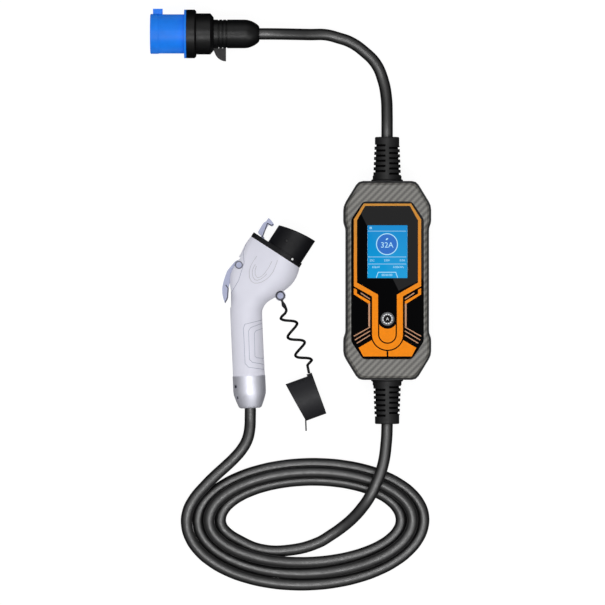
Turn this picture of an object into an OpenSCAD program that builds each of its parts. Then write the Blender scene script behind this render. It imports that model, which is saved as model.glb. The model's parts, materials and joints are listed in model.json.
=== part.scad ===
// Portable charger for electric cars: a control box with a display, a mains plug on a short cord,
// and a coiled output cord that ends in a hand-held vehicle connector with a latch and a dust cap.
// Millimetres. The origin is the centre of the box's back face, and +Z points out of the display.

/* [Box] */
// Length of the box between its two end faces
box_length = 220; // [206:1:236]
// Width of the box over its widest part
box_width = 97; // [94:1:104]
// Depth of the box from its back face to the top of the frame
box_depth = 54; // [52:0.5:58]
// Depth of the back shell, up to its joint with the frame
shell_depth = 44; // [43.5:0.5:45]
// Width of each flat end of the box
end_width = 64; // [60:1:68]
// Length of each corner chamfer, measured along the box
corner_length = 27; // [24:1:30]
// How far the long sides are waisted in
waist_depth = 2.4; // [1.6:0.1:2.8]
// Length of the waisted stretch of each long side
waist_length = 116; // [100:1:124]
// Wall thickness of the back shell and the frame
box_wall = 3; // [2.6:0.1:3.4]
// Step from the shell's side in to the frame's side
frame_step = 1.3; // [1:0.1:1.6]
// Width and depth of the bevel round the top of the frame
frame_bevel = 3.2; // [2:0.1:3.6]

/* [Front panel] */
// Width of the front panel
panel_width = 80; // [79:0.5:81]
// Length of the front panel
panel_length = 174; // [168:1:176]
// Thickness of the front panel
panel_thickness = 2; // [1.6:0.1:2.2]
// How far the panel's top sits below the frame's top
panel_sink = 0.4; // [0.3:0.05:0.6]
// Width of the ledge that the panel rests on
panel_ledge = 3.5; // [3:0.1:4]
// Thickness of the printed trim film on the panel
trim_thickness = 0.25; // [0.2:0.05:0.3]
// Width of the display window
screen_width = 43.9; // [42:0.1:46]
// Length of the display window
screen_length = 58.2; // [56:0.1:60]
// Distance of the display's centre above the box's centre
screen_y = 31.7; // [30:0.1:34]
// Distance of the button's centre below the box's centre
button_drop = 42.6; // [41:0.1:44]
// Radius of the button's cap
button_r = 4; // [3.6:0.1:4.2]
// How far the button goes in
button_travel = 1; // [0.6:0.1:1]

/* [Cords] */
// Outer diameter of the mains and output cords
cord_d = 12.8; // [11.6:0.1:13]
// Length of each strain relief outside the box
relief_length = 49; // [46:0.5:52]
// Height of the strain reliefs' axis above the box's back
relief_z = 27; // [26:0.5:28]

/* [Plug] */
// Outer radius of the plug's shroud
shroud_r = 21.7; // [21.4:0.1:22]
// Wall thickness of the plug's shroud
shroud_wall = 2.1; // [1.8:0.1:2.4]
// Radius of the plug's flange and collar
plug_flange_r = 26.95; // [26:0.05:28]
// Radius of the circle that the plug's pins stand on
pin_circle_r = 11.5; // [11:0.1:12]
// Diameter of the line and neutral pins
line_pin_d = 5; // [4.8:0.1:5.2]
// Diameter of the earth pin
earth_pin_d = 7; // [6.8:0.1:7.2]

/* [Connector] */
// Outer radius of the connector's nozzle
nozzle_r = 21.65; // [21.4:0.05:21.9]
// Wall thickness of the nozzle
nozzle_wall = 3.05; // [2.8:0.05:3.3]
// Length of the nozzle on its longer side
nozzle_length = 28.9; // [28:0.1:30]
// How much shorter the nozzle is on the latch's side
nozzle_slant = 7; // [5:0.1:8]
// Thickness of the flange behind the nozzle
flange_thickness = 5.5; // [5:0.1:6]
// Wall thickness of the connector's two body shells
connector_wall = 2.5; // [2.3:0.1:2.7]
// Thickness of the latch lever
latch_thickness = 12; // [11:0.1:12.4]
// Diameter of the latch's pivot pin
latch_pin_d = 4; // [3.6:0.1:4.2]
// Bore of the line and neutral contacts
power_bore_d = 3.6; // [3.4:0.1:3.8]
// Bore of the earth contact
earth_bore_d = 2.8; // [2.6:0.1:3]
// Bore of the pilot and sense contacts
signal_bore_d = 1.5; // [1.4:0.1:1.6]

/* [Tether and dust cap] */
// Outer diameter of the tether's curl
tether_d = 16.8; // [15:0.2:17]
// Inner radius of the dust cap
cap_r = 21.8; // [21.6:0.05:21.8]
// Wall thickness of the dust cap
cap_wall = 1.2; // [1:0.05:1.2]

/* [Fits] */
// Gap round a part that drops into a pocket
seat_gap = 0.15; // [0.1:0.01:0.2]
// Radial gap of a pin or stem in its bore
pin_gap = 0.1; // [0.06:0.01:0.14]

/* [Hidden] */
$fn = 64;
eps = 0.01;

// Heights in the box
half_length = box_length / 2;
half_width = box_width / 2;
back_chamfer = 3;
panel_top = box_depth - panel_sink;
panel_bottom = panel_top - panel_thickness;
ledge_bottom = panel_bottom - 3.2;
gasket_depth = 0.8;
gasket_inset = 0.8;
gasket_width = 1.2;
corner_cut = 5;
panel_corner_cut = 3;

// Outlines of the box and of the panel, anticlockwise from the lower right corner
waist_y = waist_length / 2;
waist_ramp = 6;
box_side = [
    [end_width / 2, -half_length],
    [half_width, corner_length - half_length],
    [half_width, -waist_y - waist_ramp],
    [half_width - waist_depth, -waist_y],
    [half_width - waist_depth, waist_y],
    [half_width, waist_y + waist_ramp],
    [half_width, half_length - corner_length],
    [end_width / 2, half_length]];
box_corners = concat(box_side, -box_side);
panel_end_half = 27;
panel_corner_length = 19.5;
panel_side = [
    [panel_end_half, -panel_length / 2],
    [panel_width / 2, panel_corner_length - panel_length / 2],
    [panel_width / 2, panel_length / 2 - panel_corner_length],
    [panel_end_half, panel_length / 2]];
panel_corners = concat(panel_side, -panel_side);

// Screws and boards in the box
case_screw_x = 36;
case_screw_y = half_length - 22;
case_screw_side_x = half_width - waist_depth - 5.1;
case_screws = [for (sx = [-1, 1]) each [
    [sx * case_screw_x, case_screw_y],
    [sx * case_screw_side_x, 0],
    [sx * case_screw_x, -case_screw_y]]];
boss_r = 3.6;
case_screw_r = 1.45;
case_head_r = 3.1;
case_head_depth = 3.2;
case_screw_top = ledge_bottom + 0.8;
board_thickness = 1.6;
display_drop = 7.6;
display_board_top = panel_bottom - display_drop;
display_board_width = 82;
display_board_length = 120;
display_post_x = 39.6;
display_post_y = 50;
display_posts = [for (sx = [-1, 1], sy = [-1, 1]) [sx * display_post_x, sy * display_post_y]];
post_r = 2.9;
board_screw_r = 0.9;
board_head_r = 1.8;
board_head_h = 1.2;
board_screw_depth = 3.4;
main_board_width = 70;
main_board_length = 160;
main_board_z = 12;
main_board_top = main_board_z + board_thickness;
main_post_inset = 4;
main_posts = [for (sx = [-1, 1], sy = [-1, 1])
    [sx * (main_board_width / 2 - main_post_inset), sy * (main_board_length / 2 - main_post_inset)]];
relay_size = [22, 28, 20];
relay_pitch = 28;
relay_y = 0.275 * main_board_length;
sensor_y = 0.075 * main_board_length;
supply_size = [52, 30, 22];
supply_y = -0.15 * main_board_length;
terminal_size = [44, 13, 14];
terminal_y = main_board_length / 2 - 12;

// Button, from the panel's top down
button_at = [0, -button_drop];
bezel_r = 7.6;
bezel_neck_r = 6;
bezel_top = panel_top + 1.4;
bezel_bottom = panel_bottom - 1.1;
bezel_web = 0.8;
button_top = bezel_top - 0.1;
button_bottom = bezel_bottom + bezel_web + button_travel + 0.3;
stem_r = 2;
stem_collar_r = 2.7;
stem_collar_top = bezel_bottom - 0.2;
stem_bottom = stem_collar_top - 0.7;
light_r = 4.55;
light_width = 1.2;
light_depth = 0.5;
light_count = 12;
switch_side = 6;

// Strain reliefs, measured outwards from the box's end face
cord_r = cord_d / 2;
cord_bore_r = cord_r + pin_gap;
relief_neck_r = 13;
relief_flare_r = 17.7;
relief_back = 2.5;
relief_boot_r = 15.3;
relief_tip_r = 13.9;
relief_boot_start = 6;
relief_boot_end = relief_length - 9.7;
slot_count = 6;
slot_pitch = 5.7;
slot_width = 2.4;
slot_depth = 1.9;
slot_turn = 164;

// Plug, measured from its tip
plug_tip = [-262.4, half_length + 163.4, relief_z];
lip_r = shroud_r + 0.4;
lip_length = 8.9;
plug_face = 33;
plug_flange_at = 37.5;
plug_flange_length = 2.3;
collar_length = 11;
collar_chamfer = 1.8;
rear_r = 22.8;
rear_length = 19.3;
gland_r = 15.9;
gland_length = 50.7;
gland_nose_length = 16.5;
gland_nose = [[1, 1], [0.98, 0.79], [0.93, 0.61], [0.85, 0.42], [0.74, 0.24], [0.62, 0.09], [0.5, 0]];
plug_collar_at = plug_flange_at + plug_flange_length;
plug_rear_at = plug_collar_at + collar_length;
plug_gland_at = plug_rear_at + rear_length;
plug_end = plug_gland_at + gland_length;
carrier_r = shroud_r - shroud_wall - seat_gap;
pin_shoulder = 0.5;

// Connector: the nozzle's base centre, its direction, and the body's rows from flange to tail.
// Each row is left edge, right edge, half depth at the right, half depth at the left.
gun = [-113.6, 141.3 - half_length, 23];
nozzle_angle = 57;
nozzle_n = [cos(nozzle_angle), sin(nozzle_angle)];
nozzle_e = [sin(nozzle_angle), -cos(nozzle_angle)];
flange_r = 23;
flange_small_r = 11;
flange_reach = 29.9;
function on_flange(e, n) = e * nozzle_e + n * nozzle_n;
row_first = concat(
    on_flange(-flange_reach - flange_small_r, -flange_thickness),
    on_flange(flange_r, -flange_thickness), [flange_r, flange_small_r]);
body_rows = [
    row_first,
    [-43.4, 9.2, 15, -22.8, 23, 11.5],
    [-49.4, -2.8, 11.6, -30.3, 22.6, 12.5],
    [-55.4, -11.8, 6.1, -37.3, 22, 13.5],
    [-61.4, -23.3, -1.5, -43.3, 21, 14.5],
    [-62, -36.3, -10.9, -50.1, 19.8, 15.5],
    [-59.6, -48.3, -19.4, -55.5, 18.4, 16.8],
    [-60.4, -62.3, -24.2, -62.8, 17.7, 17.7],
    [-60, -76.3, -24.8, -75.3, 17.6, 17.6],
    [-57.3, -137.9, -22, -136.3, 17.6, 17.6]];
row_steps = 3;
egg_steps = 8;
egg_span = 2;
nozzle_bore_r = nozzle_r - nozzle_wall;
nozzle_dome = 1.5;
nozzle_end_r = (nozzle_r * nozzle_r + nozzle_dome * nozzle_dome) / (2 * nozzle_dome);
contact_disc_back = 3;
contact_disc_front = 4;
tower_top = 20;
contact_wall = 0.8;
contact_back = 10;
contact_front = 19;
contact_bore_floor = 3;
power_at = [7.9, 6.8];
earth_at = [0, -10.6];
signal_at = [11, -5.2];

// Handle's end, where the tail cap starts, and the cap's direction
tail_at = [gun[0] - 39.65, gun[1] - 137.1, gun[2]];
tail_angle = -87.5;
tail_length = 35.7;
tail_r = 18.1;
tail_spigot_gap = 0.5;
tail_spigot_r = 17.6 - connector_wall - tail_spigot_gap;
tail_cord_start = 9.2;
tail_screws = [11.3, 23.3];
tail_screw_turn = 235;
tail_head_seats = [17.5, 15];
tail_screw_end = 13;
function on_tail(s) = tail_at + s * [cos(tail_angle), sin(tail_angle), 0];

// Latch lever, about its pivot. The slot in the flange leaves room for the arm to swing out.
pivot = [-50.6, -14.1];
latch_half = latch_thickness / 2;
latch_side_gap = 0.75;
channel_half = latch_half + latch_side_gap;
slot_near = 26;
slot_far = 35.4;
hub_r = 5.5;
pin_head_r = 4.3;
pin_head_z = 9.4;
pin_head_h = 1.4;
spring_wire_r = 0.55;
spring_r = latch_pin_d / 2 + 1.3;
spring_pocket_r = spring_r + spring_wire_r + 0.3;
spring_pocket_depth = 3.2;
latch_arm = [
    [3.4, 4.5],
    on_flange(-31, -7) - pivot,
    on_flange(-31, 1) - pivot,
    on_flange(-36, 1.6) - pivot,
    [21.2, 36.8], [22, 38.2], [27.3, 47], [30, 48.1], [32.1, 51.2], [32.9, 52.1], [35.3, 50], [39, 45.1],
    [37.4, 42.5], [33.2, 45.4], [26, 33.4],
    on_flange(-27, 1) - pivot,
    on_flange(-26.6, -7) - pivot,
    [4.4, -3.2]];
latch_thumb = [
    [2, 5.1], [-2.6, 4.8], [-4.9, 3.3], [-13.1, -6.4], [-17.1, -17.8], [-18.7, -26], [-18.4, -32],
    [-17.1, -38.2], [-15.5, -42.2], [-15, -42.2], [-12.9, -37.6], [-12.3, -33], [-12.2, -27], [-9, -15],
    [-1, -5.4], [4, -3.8]];
channel = [[-26, 8.8], [5, 8.8], [-1, -7], [-6.5, -16], [-8.8, -28], [-8.8, -47], [-26, -47]];
switch_at = [pivot[0] + 24, pivot[1] + 9.5];
switch_size = [10, 7, 8];
switch_post_r = 3;
switch_post_depth = 13.6;

// Screws that hold the two body shells together, from the underside, each with its boss's depth
shell_screws = [
    [-6, -16, 21.4], [-44, -27.4, 13.4], [-28, -41.5, 18.2],
    [-51.6, -72, 11], [-33, -73, 11], [-31, -118, 11], [-49.4, -119, 11]];
shell_boss_r = 3;
shell_screw_r = 1.2;
shell_head_r = 2.3;
shell_head_h = 2;
shell_head_seat = 6;
shell_screw_top = 5;

// Tether: screw on the body's edge, eye, and the curl that lies on the floor
tether_at = [gun[0] - 4.7, gun[1] - 48.2, gun[2]];
tether_edge_angle = 36;
lug_r = 6;
lug_depth = 6;
eye_r = 5.2;
eye_h = 2.4;
tether_screw_r = 2;
tether_head_r = 4.5;
tether_head_h = 2.6;
tether_r = tether_d / 2;
tether_neck = [[0, 0, 1.3], [2.2, -6.8, 1.4], [3.6, -10.4, -2.6], [5, -12.6, -8.4], [6, -14, -13.2]];
tether_neck_r = [1.2, 1.3, 2.4, 1.9, 1.5];
tether_route = [for (p = [[6.5, -15.7], [9.6, -27.2], [17.5, -47.7], [25.6, -68.3], [31.8, -86.2]])
    [tether_at[0] + p[0], tether_at[1] + p[1], tether_r]];

// Dust cap on its side, open along +X turned by cap_angle, with its closed end slanted
cap_angle = 20;
cap_outer_r = cap_r + cap_wall;
cap_at = [gun[0] + 38.5, gun[1] - 157.2, cap_outer_r];
cap_length = 31.5;
cap_short = 24.1;
cap_end_wall = 2;
strap_thickness = 1.6;
strap_height = 12;
strap_length = 15;
lug_reach = 25;

// Cord routes: round points along each centre line, and the coil's oval
gun_y = gun[1];
end_y = half_length;
input_route = [
    [plug_tip[0] + 92, plug_tip[1], plug_tip[2]], [plug_tip[0] + plug_end, plug_tip[1], plug_tip[2]],
    [-125, plug_tip[1], plug_tip[2] - 1], [-105, plug_tip[1], plug_tip[2] - 7],
    [-85, plug_tip[1], 12], [-68, plug_tip[1], 7.6], [-54, end_y + 160, cord_r], [-40, end_y + 155, cord_r],
    [-25, end_y + 144.5, cord_r], [-12, end_y + 131, cord_r], [-4, end_y + 112, 8], [-0.6, end_y + 93, 14],
    [0, end_y + 75, relief_z - 5], [0, end_y + 60, relief_z - 0.7],
    [0, end_y + relief_length, relief_z], [0, end_y - box_wall - relief_back, relief_z]];
lead_in_route = [
    [0, box_wall + relief_back - end_y, relief_z], [0, -end_y - relief_length, relief_z],
    [-1, -end_y - 70, relief_z + 0.6], [-4.8, -end_y - 95, relief_z + 1.6],
    [-13.4, -end_y - 118, relief_z + 1.8], [-20, -end_y - 131, 27.4], [-26.8, -end_y - 141, 24],
    [-38, -end_y - 154, 17], [-50, -end_y - 164.5, 11], [-62, -end_y - 173, 7.6],
    [-76.5, -end_y - 180.4, cord_r], [-107, -end_y - 188, cord_r],
    [-139, -end_y - 184.7, cord_r], [-162, -end_y - 173.5, cord_r], [-170.8, -end_y - 165.5, cord_r]];
lead_out_route = [
    on_tail(tail_cord_start), on_tail(tail_length), [-151.8, gun_y - 183, 22.6],
    [-152.2, gun_y - 194, 20.2], [-155, gun_y - 207.5, 17.5], [-161, gun_y - 218.5, 16],
    [-170, gun_y - 229, 15.2], [-180, gun_y - 238.5, 14.9], [-190.5, gun_y - 248, 14.8],
    [-201, gun_y - 258.5, 14.8]];
coil_at = [-91, -end_y - 159];
coil_half = [138, 76];
coil_hole_at = [-84.6, -end_y - 157];
coil_hole_half = [93, 39];
coil_end_r = 45;
coil_hole_end_r = 38;
tube_sides = 10;

// Unit vector
function unit(v) = v / norm(v);

// Points of an arc about a centre, in equal steps
function arc(c, r, a0, a1, n) = [for (i = [0:n]) let (a = a0 + (a1 - a0) * i / n) c + r * [cos(a), sin(a)]];

// Anticlockwise outline moved inwards by t, with mitred corners
function inset_ring(p, t) = let (n = len(p)) [for (i = [0:n - 1])
    let (u = unit(p[i] - p[(i + n - 1) % n]), v = unit(p[(i + 1) % n] - p[i]),
        nu = [-u[1], u[0]], nv = [-v[1], v[0]])
    p[i] + t * (nu + nv) / (1 + nu * nv)];

// Outline with each corner blended over the given cut, in n steps
function round_ring(p, cut, n) = let (m = len(p)) [for (i = [0:m - 1])
    let (to_a = p[(i + m - 1) % m] - p[i], to_b = p[(i + 1) % m] - p[i],
        c = min(cut, 0.42 * norm(to_a), 0.42 * norm(to_b)),
        a = p[i] + c * unit(to_a), b = p[i] + c * unit(to_b))
    for (k = [0:n]) let (t = k / n) (1 - t) * (1 - t) * a + 2 * t * (1 - t) * p[i] + t * t * b];

// The box's and the panel's rounded outlines, moved inwards by t
function box_ring(t) = round_ring(inset_ring(box_corners, t), corner_cut, 2);
function panel_ring(t) = round_ring(inset_ring(panel_corners, t), panel_corner_cut, 2);
function at_z(ring, z) = [for (p = ring) [p[0], p[1], z]];

// Solid through closed rings of equal count, anticlockwise seen from the last ring's side
module skin(rings) {
    n = len(rings[0]);
    m = len(rings);
    sides = [for (j = [0:m - 2], i = [0:n - 1]) let (a = j * n + i, b = j * n + (i + 1) % n)
        each [[a, a + n, b + n], [a, b + n, b]]];
    first = [for (i = [0:n - 1]) i];
    last = [for (i = [n - 1:-1:0]) (m - 1) * n + i];
    polyhedron([for (r = rings) each r], concat(sides, [first, last]), convexity = 6);
}

// Round tube along a route, with one radius or one for each point
function route_way(p, i) = unit(p[min(i + 1, len(p) - 1)] - p[max(i - 1, 0)]);
function tube_ring(c, way, r, n) = let (s = unit(cross(way, [0, 0, 1])), u = cross(way, s))
    [for (k = [0:n - 1]) c + r * (cos(360 * k / n) * s + sin(360 * k / n) * u)];
module tube(route, r, n = tube_sides) {
    skin([for (i = [0:len(route) - 1])
        tube_ring(route[i], route_way(route, i), is_list(r) ? r[i] : r, n)]);
}

// Half of an egg outline from its small end to its big end, as [along, up]
function half_egg(w, big, small, k) =
    let (span = max(w - big - small, egg_span), turn = 90 + asin(max(-0.9, min(0.9, (big - small) / span))))
    concat(
        [for (i = [0:k]) let (a = 180 + (turn - 180) * i / k) [small + small * cos(a), small * sin(a)]],
        [for (i = [0:k]) let (a = turn * (1 - i / k)) [w - big + big * cos(a), big * sin(a)]]);

// Rows of a loft with smooth rows put in between
function smooth_rows(p, n) = let (m = len(p)) concat(
    [for (i = [0:m - 2], k = [0:n - 1])
        let (t = k / n, a = p[max(i - 1, 0)], b = p[i], c = p[i + 1], d = p[min(i + 2, m - 1)])
        0.5 * (2 * b + t * (c - a) + t * t * (2 * a - 5 * b + 4 * c - d)
            + t * t * t * (3 * b - a - 3 * c + d))],
    [p[m - 1]]);

// One row of the body as a half shell's closed cross-section, above (1) or below (-1) the middle plane
function shell_ring(row, side) =
    let (l = [row[0], row[1]], r = [row[2], row[3]], w = norm(r - l), way = (r - l) / w, t = connector_wall,
        outer = half_egg(w, row[4], row[5], egg_steps),
        inner = half_egg(w - 2 * t, row[4] - t, row[5] - t, egg_steps),
        m = len(outer),
        flat = concat(outer, [for (i = [m - 1:-1:0]) inner[i] + [t, 0]]),
        ring = [for (q = flat) [l[0] + way[0] * q[0], l[1] + way[1] * q[0], side * q[1]]])
    side < 0 ? ring : [for (i = [len(ring) - 1:-1:0]) ring[i]];

// Four-centred oval: half sizes h and end radius r
function oval(h, r, n) =
    let (big = (pow(h[0] - r, 2) + h[1] * h[1] - r * r) / (2 * (h[1] - r)), drop = big - h[1],
        turn = atan2(drop, h[0] - r),
        right = arc([h[0] - r, 0], r, -turn, turn, n),
        top = arc([0, -drop], big, turn, 180 - turn, n))
    concat(right, [for (i = [1:n - 1]) top[i]], -right, [for (i = [1:n - 1]) -top[i]]);

// Straight stroke of the given width from a to b
function stroke(a, b, w) = let (u = unit(b - a), v = w / 2 * [-u[1], u[0]]) [a - v, b - v, b + v, a + v];

// What lies between two heights
module between(low, high) {
    reach = 400;
    intersection() {
        children();
        translate([-reach / 2, -reach / 2, low]) cube([reach, reach, high - low]);
    }
}

// Frames of the main groups
module at_input_end() { translate([0, half_length, relief_z]) rotate([-90, 0, 0]) children(); }
module at_plug() { translate(plug_tip) rotate([0, 90, 0]) children(); }
module at_gun() { translate(gun) children(); }
module at_nozzle() { translate(gun) rotate([0, 0, nozzle_angle]) rotate([0, 90, 0]) children(); }
module at_pivot() { translate([gun[0] + pivot[0], gun[1] + pivot[1], gun[2]]) children(); }
module at_tail() { translate(tail_at) rotate([0, 0, tail_angle]) rotate([0, 90, 0]) children(); }
module both_sides() { children(); mirror([1, 0, 0]) children(); }

// Control box

module back_shell() {
    color("dimgray")
    difference() {
        union() {
            difference() {
                between(0, shell_depth) skin([
                    at_z(box_ring(back_chamfer + 1), -1), at_z(box_ring(0), back_chamfer),
                    at_z(box_ring(0), shell_depth + 1)]);
                translate([0, 0, box_wall]) linear_extrude(shell_depth) polygon(box_ring(box_wall));
            }
            for (p = case_screws) {
                translate([p[0], p[1], box_wall / 2]) cylinder(r = boss_r, h = shell_depth - box_wall / 2);
            }
            for (p = main_posts) {
                translate([p[0], p[1], box_wall / 2]) cylinder(r = post_r, h = main_board_z - box_wall / 2);
            }
        }
        translate([0, 0, shell_depth - gasket_depth]) linear_extrude(1 + gasket_depth) gasket_outline();
        for (p = case_screws) translate([p[0], p[1], -1]) {
            cylinder(r = case_head_r + pin_gap, h = case_head_depth + 1);
            cylinder(r = case_screw_r + pin_gap, h = shell_depth + 2);
        }
        for (p = main_posts) {
            translate([p[0], p[1], main_board_top - board_screw_depth - 1]) {
                cylinder(r = board_screw_r, h = 10);
            }
        }
        translate([0, 0, relief_z]) rotate([90, 0, 0]) {
            cylinder(r = relief_neck_r + seat_gap, h = box_length + 2, center = true);
        }
    }
}

module gasket_outline() {
    difference() {
        polygon(box_ring(gasket_inset));
        polygon(box_ring(gasket_inset + gasket_width));
    }
}

module gasket() {
    color("black") translate([0, 0, shell_depth - gasket_depth]) {
        linear_extrude(gasket_depth) gasket_outline();
    }
}

module front_frame() {
    color("gray")
    difference() {
        union() {
            difference() {
                between(shell_depth, box_depth) skin([
                    at_z(box_ring(frame_step), shell_depth - 1),
                    at_z(box_ring(frame_step), box_depth - frame_bevel),
                    at_z(box_ring(frame_step + frame_bevel + 1), box_depth + 1)]);
                translate([0, 0, shell_depth - 1]) linear_extrude(ledge_bottom - shell_depth + 1) {
                    polygon(box_ring(frame_step + box_wall));
                }
            }
            for (p = case_screws) {
                translate([p[0], p[1], shell_depth]) cylinder(r = boss_r, h = ledge_bottom + 1 - shell_depth);
            }
            for (p = display_posts) {
                translate([p[0], p[1], display_board_top]) {
                    cylinder(r = post_r, h = ledge_bottom + 1 - display_board_top);
                }
            }
        }
        translate([0, 0, shell_depth - 1]) linear_extrude(box_depth) polygon(panel_ring(panel_ledge));
        translate([0, 0, panel_bottom]) linear_extrude(box_depth) polygon(panel_ring(-seat_gap));
        for (p = case_screws) {
            translate([p[0], p[1], shell_depth - 1]) {
                cylinder(r = case_screw_r, h = case_screw_top - shell_depth + 1.2);
            }
        }
        for (p = display_posts) {
            translate([p[0], p[1], display_board_top - 1]) cylinder(r = board_screw_r, h = board_screw_depth);
        }
    }
}

module face_panel() {
    color([0.08, 0.08, 0.1]) translate([0, 0, panel_bottom]) linear_extrude(panel_thickness) difference() {
        polygon(panel_ring(0));
        translate([0, screen_y]) {
            square([screen_width + 2 * seat_gap, screen_length + 2 * seat_gap], center = true);
        }
        translate(button_at) circle(r = bezel_neck_r + pin_gap);
    }
}

// Printed trim on the panel: a border that runs down the sides and into a U round the button
border_top = panel_length / 2 - 2.2;
border_x = panel_width / 2 - 2.9;
border_w = 3.4;
border_end_w = 2.5;
u_outer = 17;
u_inner = 10.4;
u_at = [0, -59.6];
island_r = 9;
ring_clear = 10.8;
trim_gap = 1.4;
band_x = 19.2;
line_w = 1.9;
fine_line_w = 1.1;

module trim_border() {
    polygon(concat(
        [[-eps, border_top], [26.1, border_top], [border_x, 67.3], [border_x, -6.4], [u_outer, -17.7]],
        arc(u_at, u_outer, 0, -90, 12), [[-eps, u_at[1] - u_outer], [-eps, u_at[1] - u_inner]],
        arc(u_at, u_inner, -90, 0, 12),
        [[u_inner, -15.7], [border_x - border_w, -2.4], [border_x - border_w, 66.3],
        [24.7, border_top - border_end_w],
            [-eps, border_top - border_end_w]]));
}

module trim_island() {
    reach = acos(island_r / ring_clear);
    polygon(concat(arc(button_at, ring_clear, -180 + reach, -reach, 12), arc(u_at, island_r, 0, -180, 18)));
}

module trim_band() {
    polygon([
        [border_x, -8.6], [border_x, -15.5], [band_x + line_w, -25.6], [band_x, -25.6], [band_x, -23],
        [border_x - border_w, -14.6], [border_x - border_w, -10.4]]);
}

module trim_foot() {
    polygon(concat(arc(u_at, u_outer + trim_gap, -87, -20, 12),
        [[31.8, -74.3], [26.7, -83.9], [0.9, -83.9]]));
}

module face_trim() {
    color("orange") translate([0, 0, panel_top]) linear_extrude(trim_thickness) {
        both_sides() {
            trim_border();
            trim_band();
            trim_foot();
        }
        trim_island();
    }
}

module face_lines() {
    color("tan") translate([0, 0, panel_top]) linear_extrude(trim_thickness) both_sides() {
        translate([band_x, -51]) square([line_w, 25.4]);
        polygon(stroke([band_x, -51.5], [37, -61.6], fine_line_w));
        polygon(stroke([band_x, -55.8], [36.2, -65.8], fine_line_w));
        polygon(stroke([band_x, -60.4], [33.9, -69.4], fine_line_w));
        polygon(stroke([band_x, -20.7], [29.6, -13.8], fine_line_w));
    }
}

module lcd_window() {
    color("deepskyblue") translate([0, screen_y, panel_bottom + panel_thickness / 2]) {
        cube([screen_width, screen_length, panel_thickness], center = true);
    }
}

module lcd_module() {
    color("silver") translate([0, screen_y, display_board_top + display_drop / 2]) {
        cube([screen_width + 6, screen_length - 2, display_drop], center = true);
    }
}

module display_board() {
    color("darkgreen") translate([0, 0, display_board_top - board_thickness]) difference() {
        translate([0, 0, board_thickness / 2]) {
            cube([display_board_width, display_board_length, board_thickness], center = true);
        }
        for (p = case_screws) translate([p[0], p[1], -1]) cylinder(r = boss_r + 0.4, h = 4);
        for (p = display_posts) translate([p[0], p[1], -1]) cylinder(r = board_screw_r + pin_gap, h = 4);
    }
}

module board_screw() {
    translate([0, 0, -board_head_h]) cylinder(r = board_head_r, h = board_head_h);
    cylinder(r = board_screw_r, h = board_screw_depth);
}

module board_screws() {
    color("silver") {
        for (p = display_posts) {
            translate([p[0], p[1], display_board_top - board_thickness]) board_screw();
        }
        for (p = main_posts) translate([p[0], p[1], main_board_top]) mirror([0, 0, 1]) board_screw();
    }
}

module button_bezel() {
    color([0.1, 0.1, 0.1]) translate(button_at) difference() {
        rotate_extrude() polygon([
            [stem_r + pin_gap + 0.1, bezel_bottom], [bezel_neck_r, bezel_bottom], [bezel_neck_r, panel_top],
            [bezel_r, panel_top], [bezel_r, bezel_top - 0.6], [bezel_r - 0.6, bezel_top],
            [button_r + pin_gap, bezel_top], [button_r + pin_gap, bezel_bottom + bezel_web],
            [stem_r + pin_gap + 0.1, bezel_bottom + bezel_web]]);
        translate([0, 0, bezel_top - light_depth]) light_segments(light_depth + 1);
    }
}

module light_segments(h) {
    step = 360 / light_count;
    for (i = [0:light_count - 1]) rotate([0, 0, i * step + step / 6]) {
        rotate_extrude(angle = step * 2 / 3) translate([light_r, 0]) square([light_width, h]);
    }
}

module button_light_ring() {
    color("white") translate([button_at[0], button_at[1], bezel_top - light_depth]) {
        light_segments(light_depth);
    }
}

module mode_button() {
    color([0.05, 0.05, 0.05]) translate(button_at) rotate_extrude() polygon([
        [0, stem_bottom], [stem_collar_r, stem_bottom], [stem_collar_r, stem_collar_top],
        [stem_r, stem_collar_top],
        [stem_r, button_bottom], [button_r, button_bottom], [button_r, button_top - 0.5],
        [button_r - 0.5, button_top],
        [0, button_top]]);
}

module tact_switch() {
    plunger_top = stem_bottom - button_travel - 0.2;
    body_top = plunger_top - 1;
    color("darkslategray") translate([button_at[0], button_at[1], display_board_top]) {
        translate([0, 0, (body_top - display_board_top) / 2]) {
            cube([switch_side, switch_side, body_top - display_board_top], center = true);
        }
        cylinder(r = 1.7, h = plunger_top - display_board_top);
    }
}

module main_board() {
    color("darkgreen") translate([0, 0, main_board_z]) difference() {
        translate([0, 0, board_thickness / 2]) {
            cube([main_board_width, main_board_length, board_thickness], center = true);
        }
        for (p = main_posts) translate([p[0], p[1], -1]) cylinder(r = board_screw_r + pin_gap, h = 4);
    }
}

module on_main_board(at, size) {
    translate([at[0] - size[0] / 2, at[1] - size[1] / 2, main_board_top]) cube(size);
}

module power_relays() {
    color("black") for (x = [-1, 1]) on_main_board([x * relay_pitch / 2, relay_y], relay_size);
}

module current_sensor() {
    color("goldenrod") translate([0, sensor_y, main_board_top]) difference() {
        cylinder(r = 12, h = 9);
        translate([0, 0, -1]) cylinder(r = 7, h = 11);
    }
}

module supply_module() {
    color("ivory") on_main_board([0, supply_y], supply_size);
}

module terminal_blocks() {
    color("seagreen") for (y = [-1, 1]) on_main_board([0, y * terminal_y], terminal_size);
}

module back_screws() {
    color("silver") for (p = case_screws) translate([p[0], p[1], 0]) difference() {
        union() {
            translate([0, 0, 0.4]) cylinder(r = case_head_r, h = case_head_depth - 0.4);
            cylinder(r = case_screw_r, h = case_screw_top);
        }
        translate([0, 0, -1]) cylinder(r = case_screw_r + 0.2, h = 2.6, $fn = 6);
    }
}

// Radius of the strain relief's tapered boot at a height
function boot_r(z) = relief_boot_r
    + (relief_tip_r - relief_boot_r) * (z - relief_boot_start) / (relief_boot_end - relief_boot_start);

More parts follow.
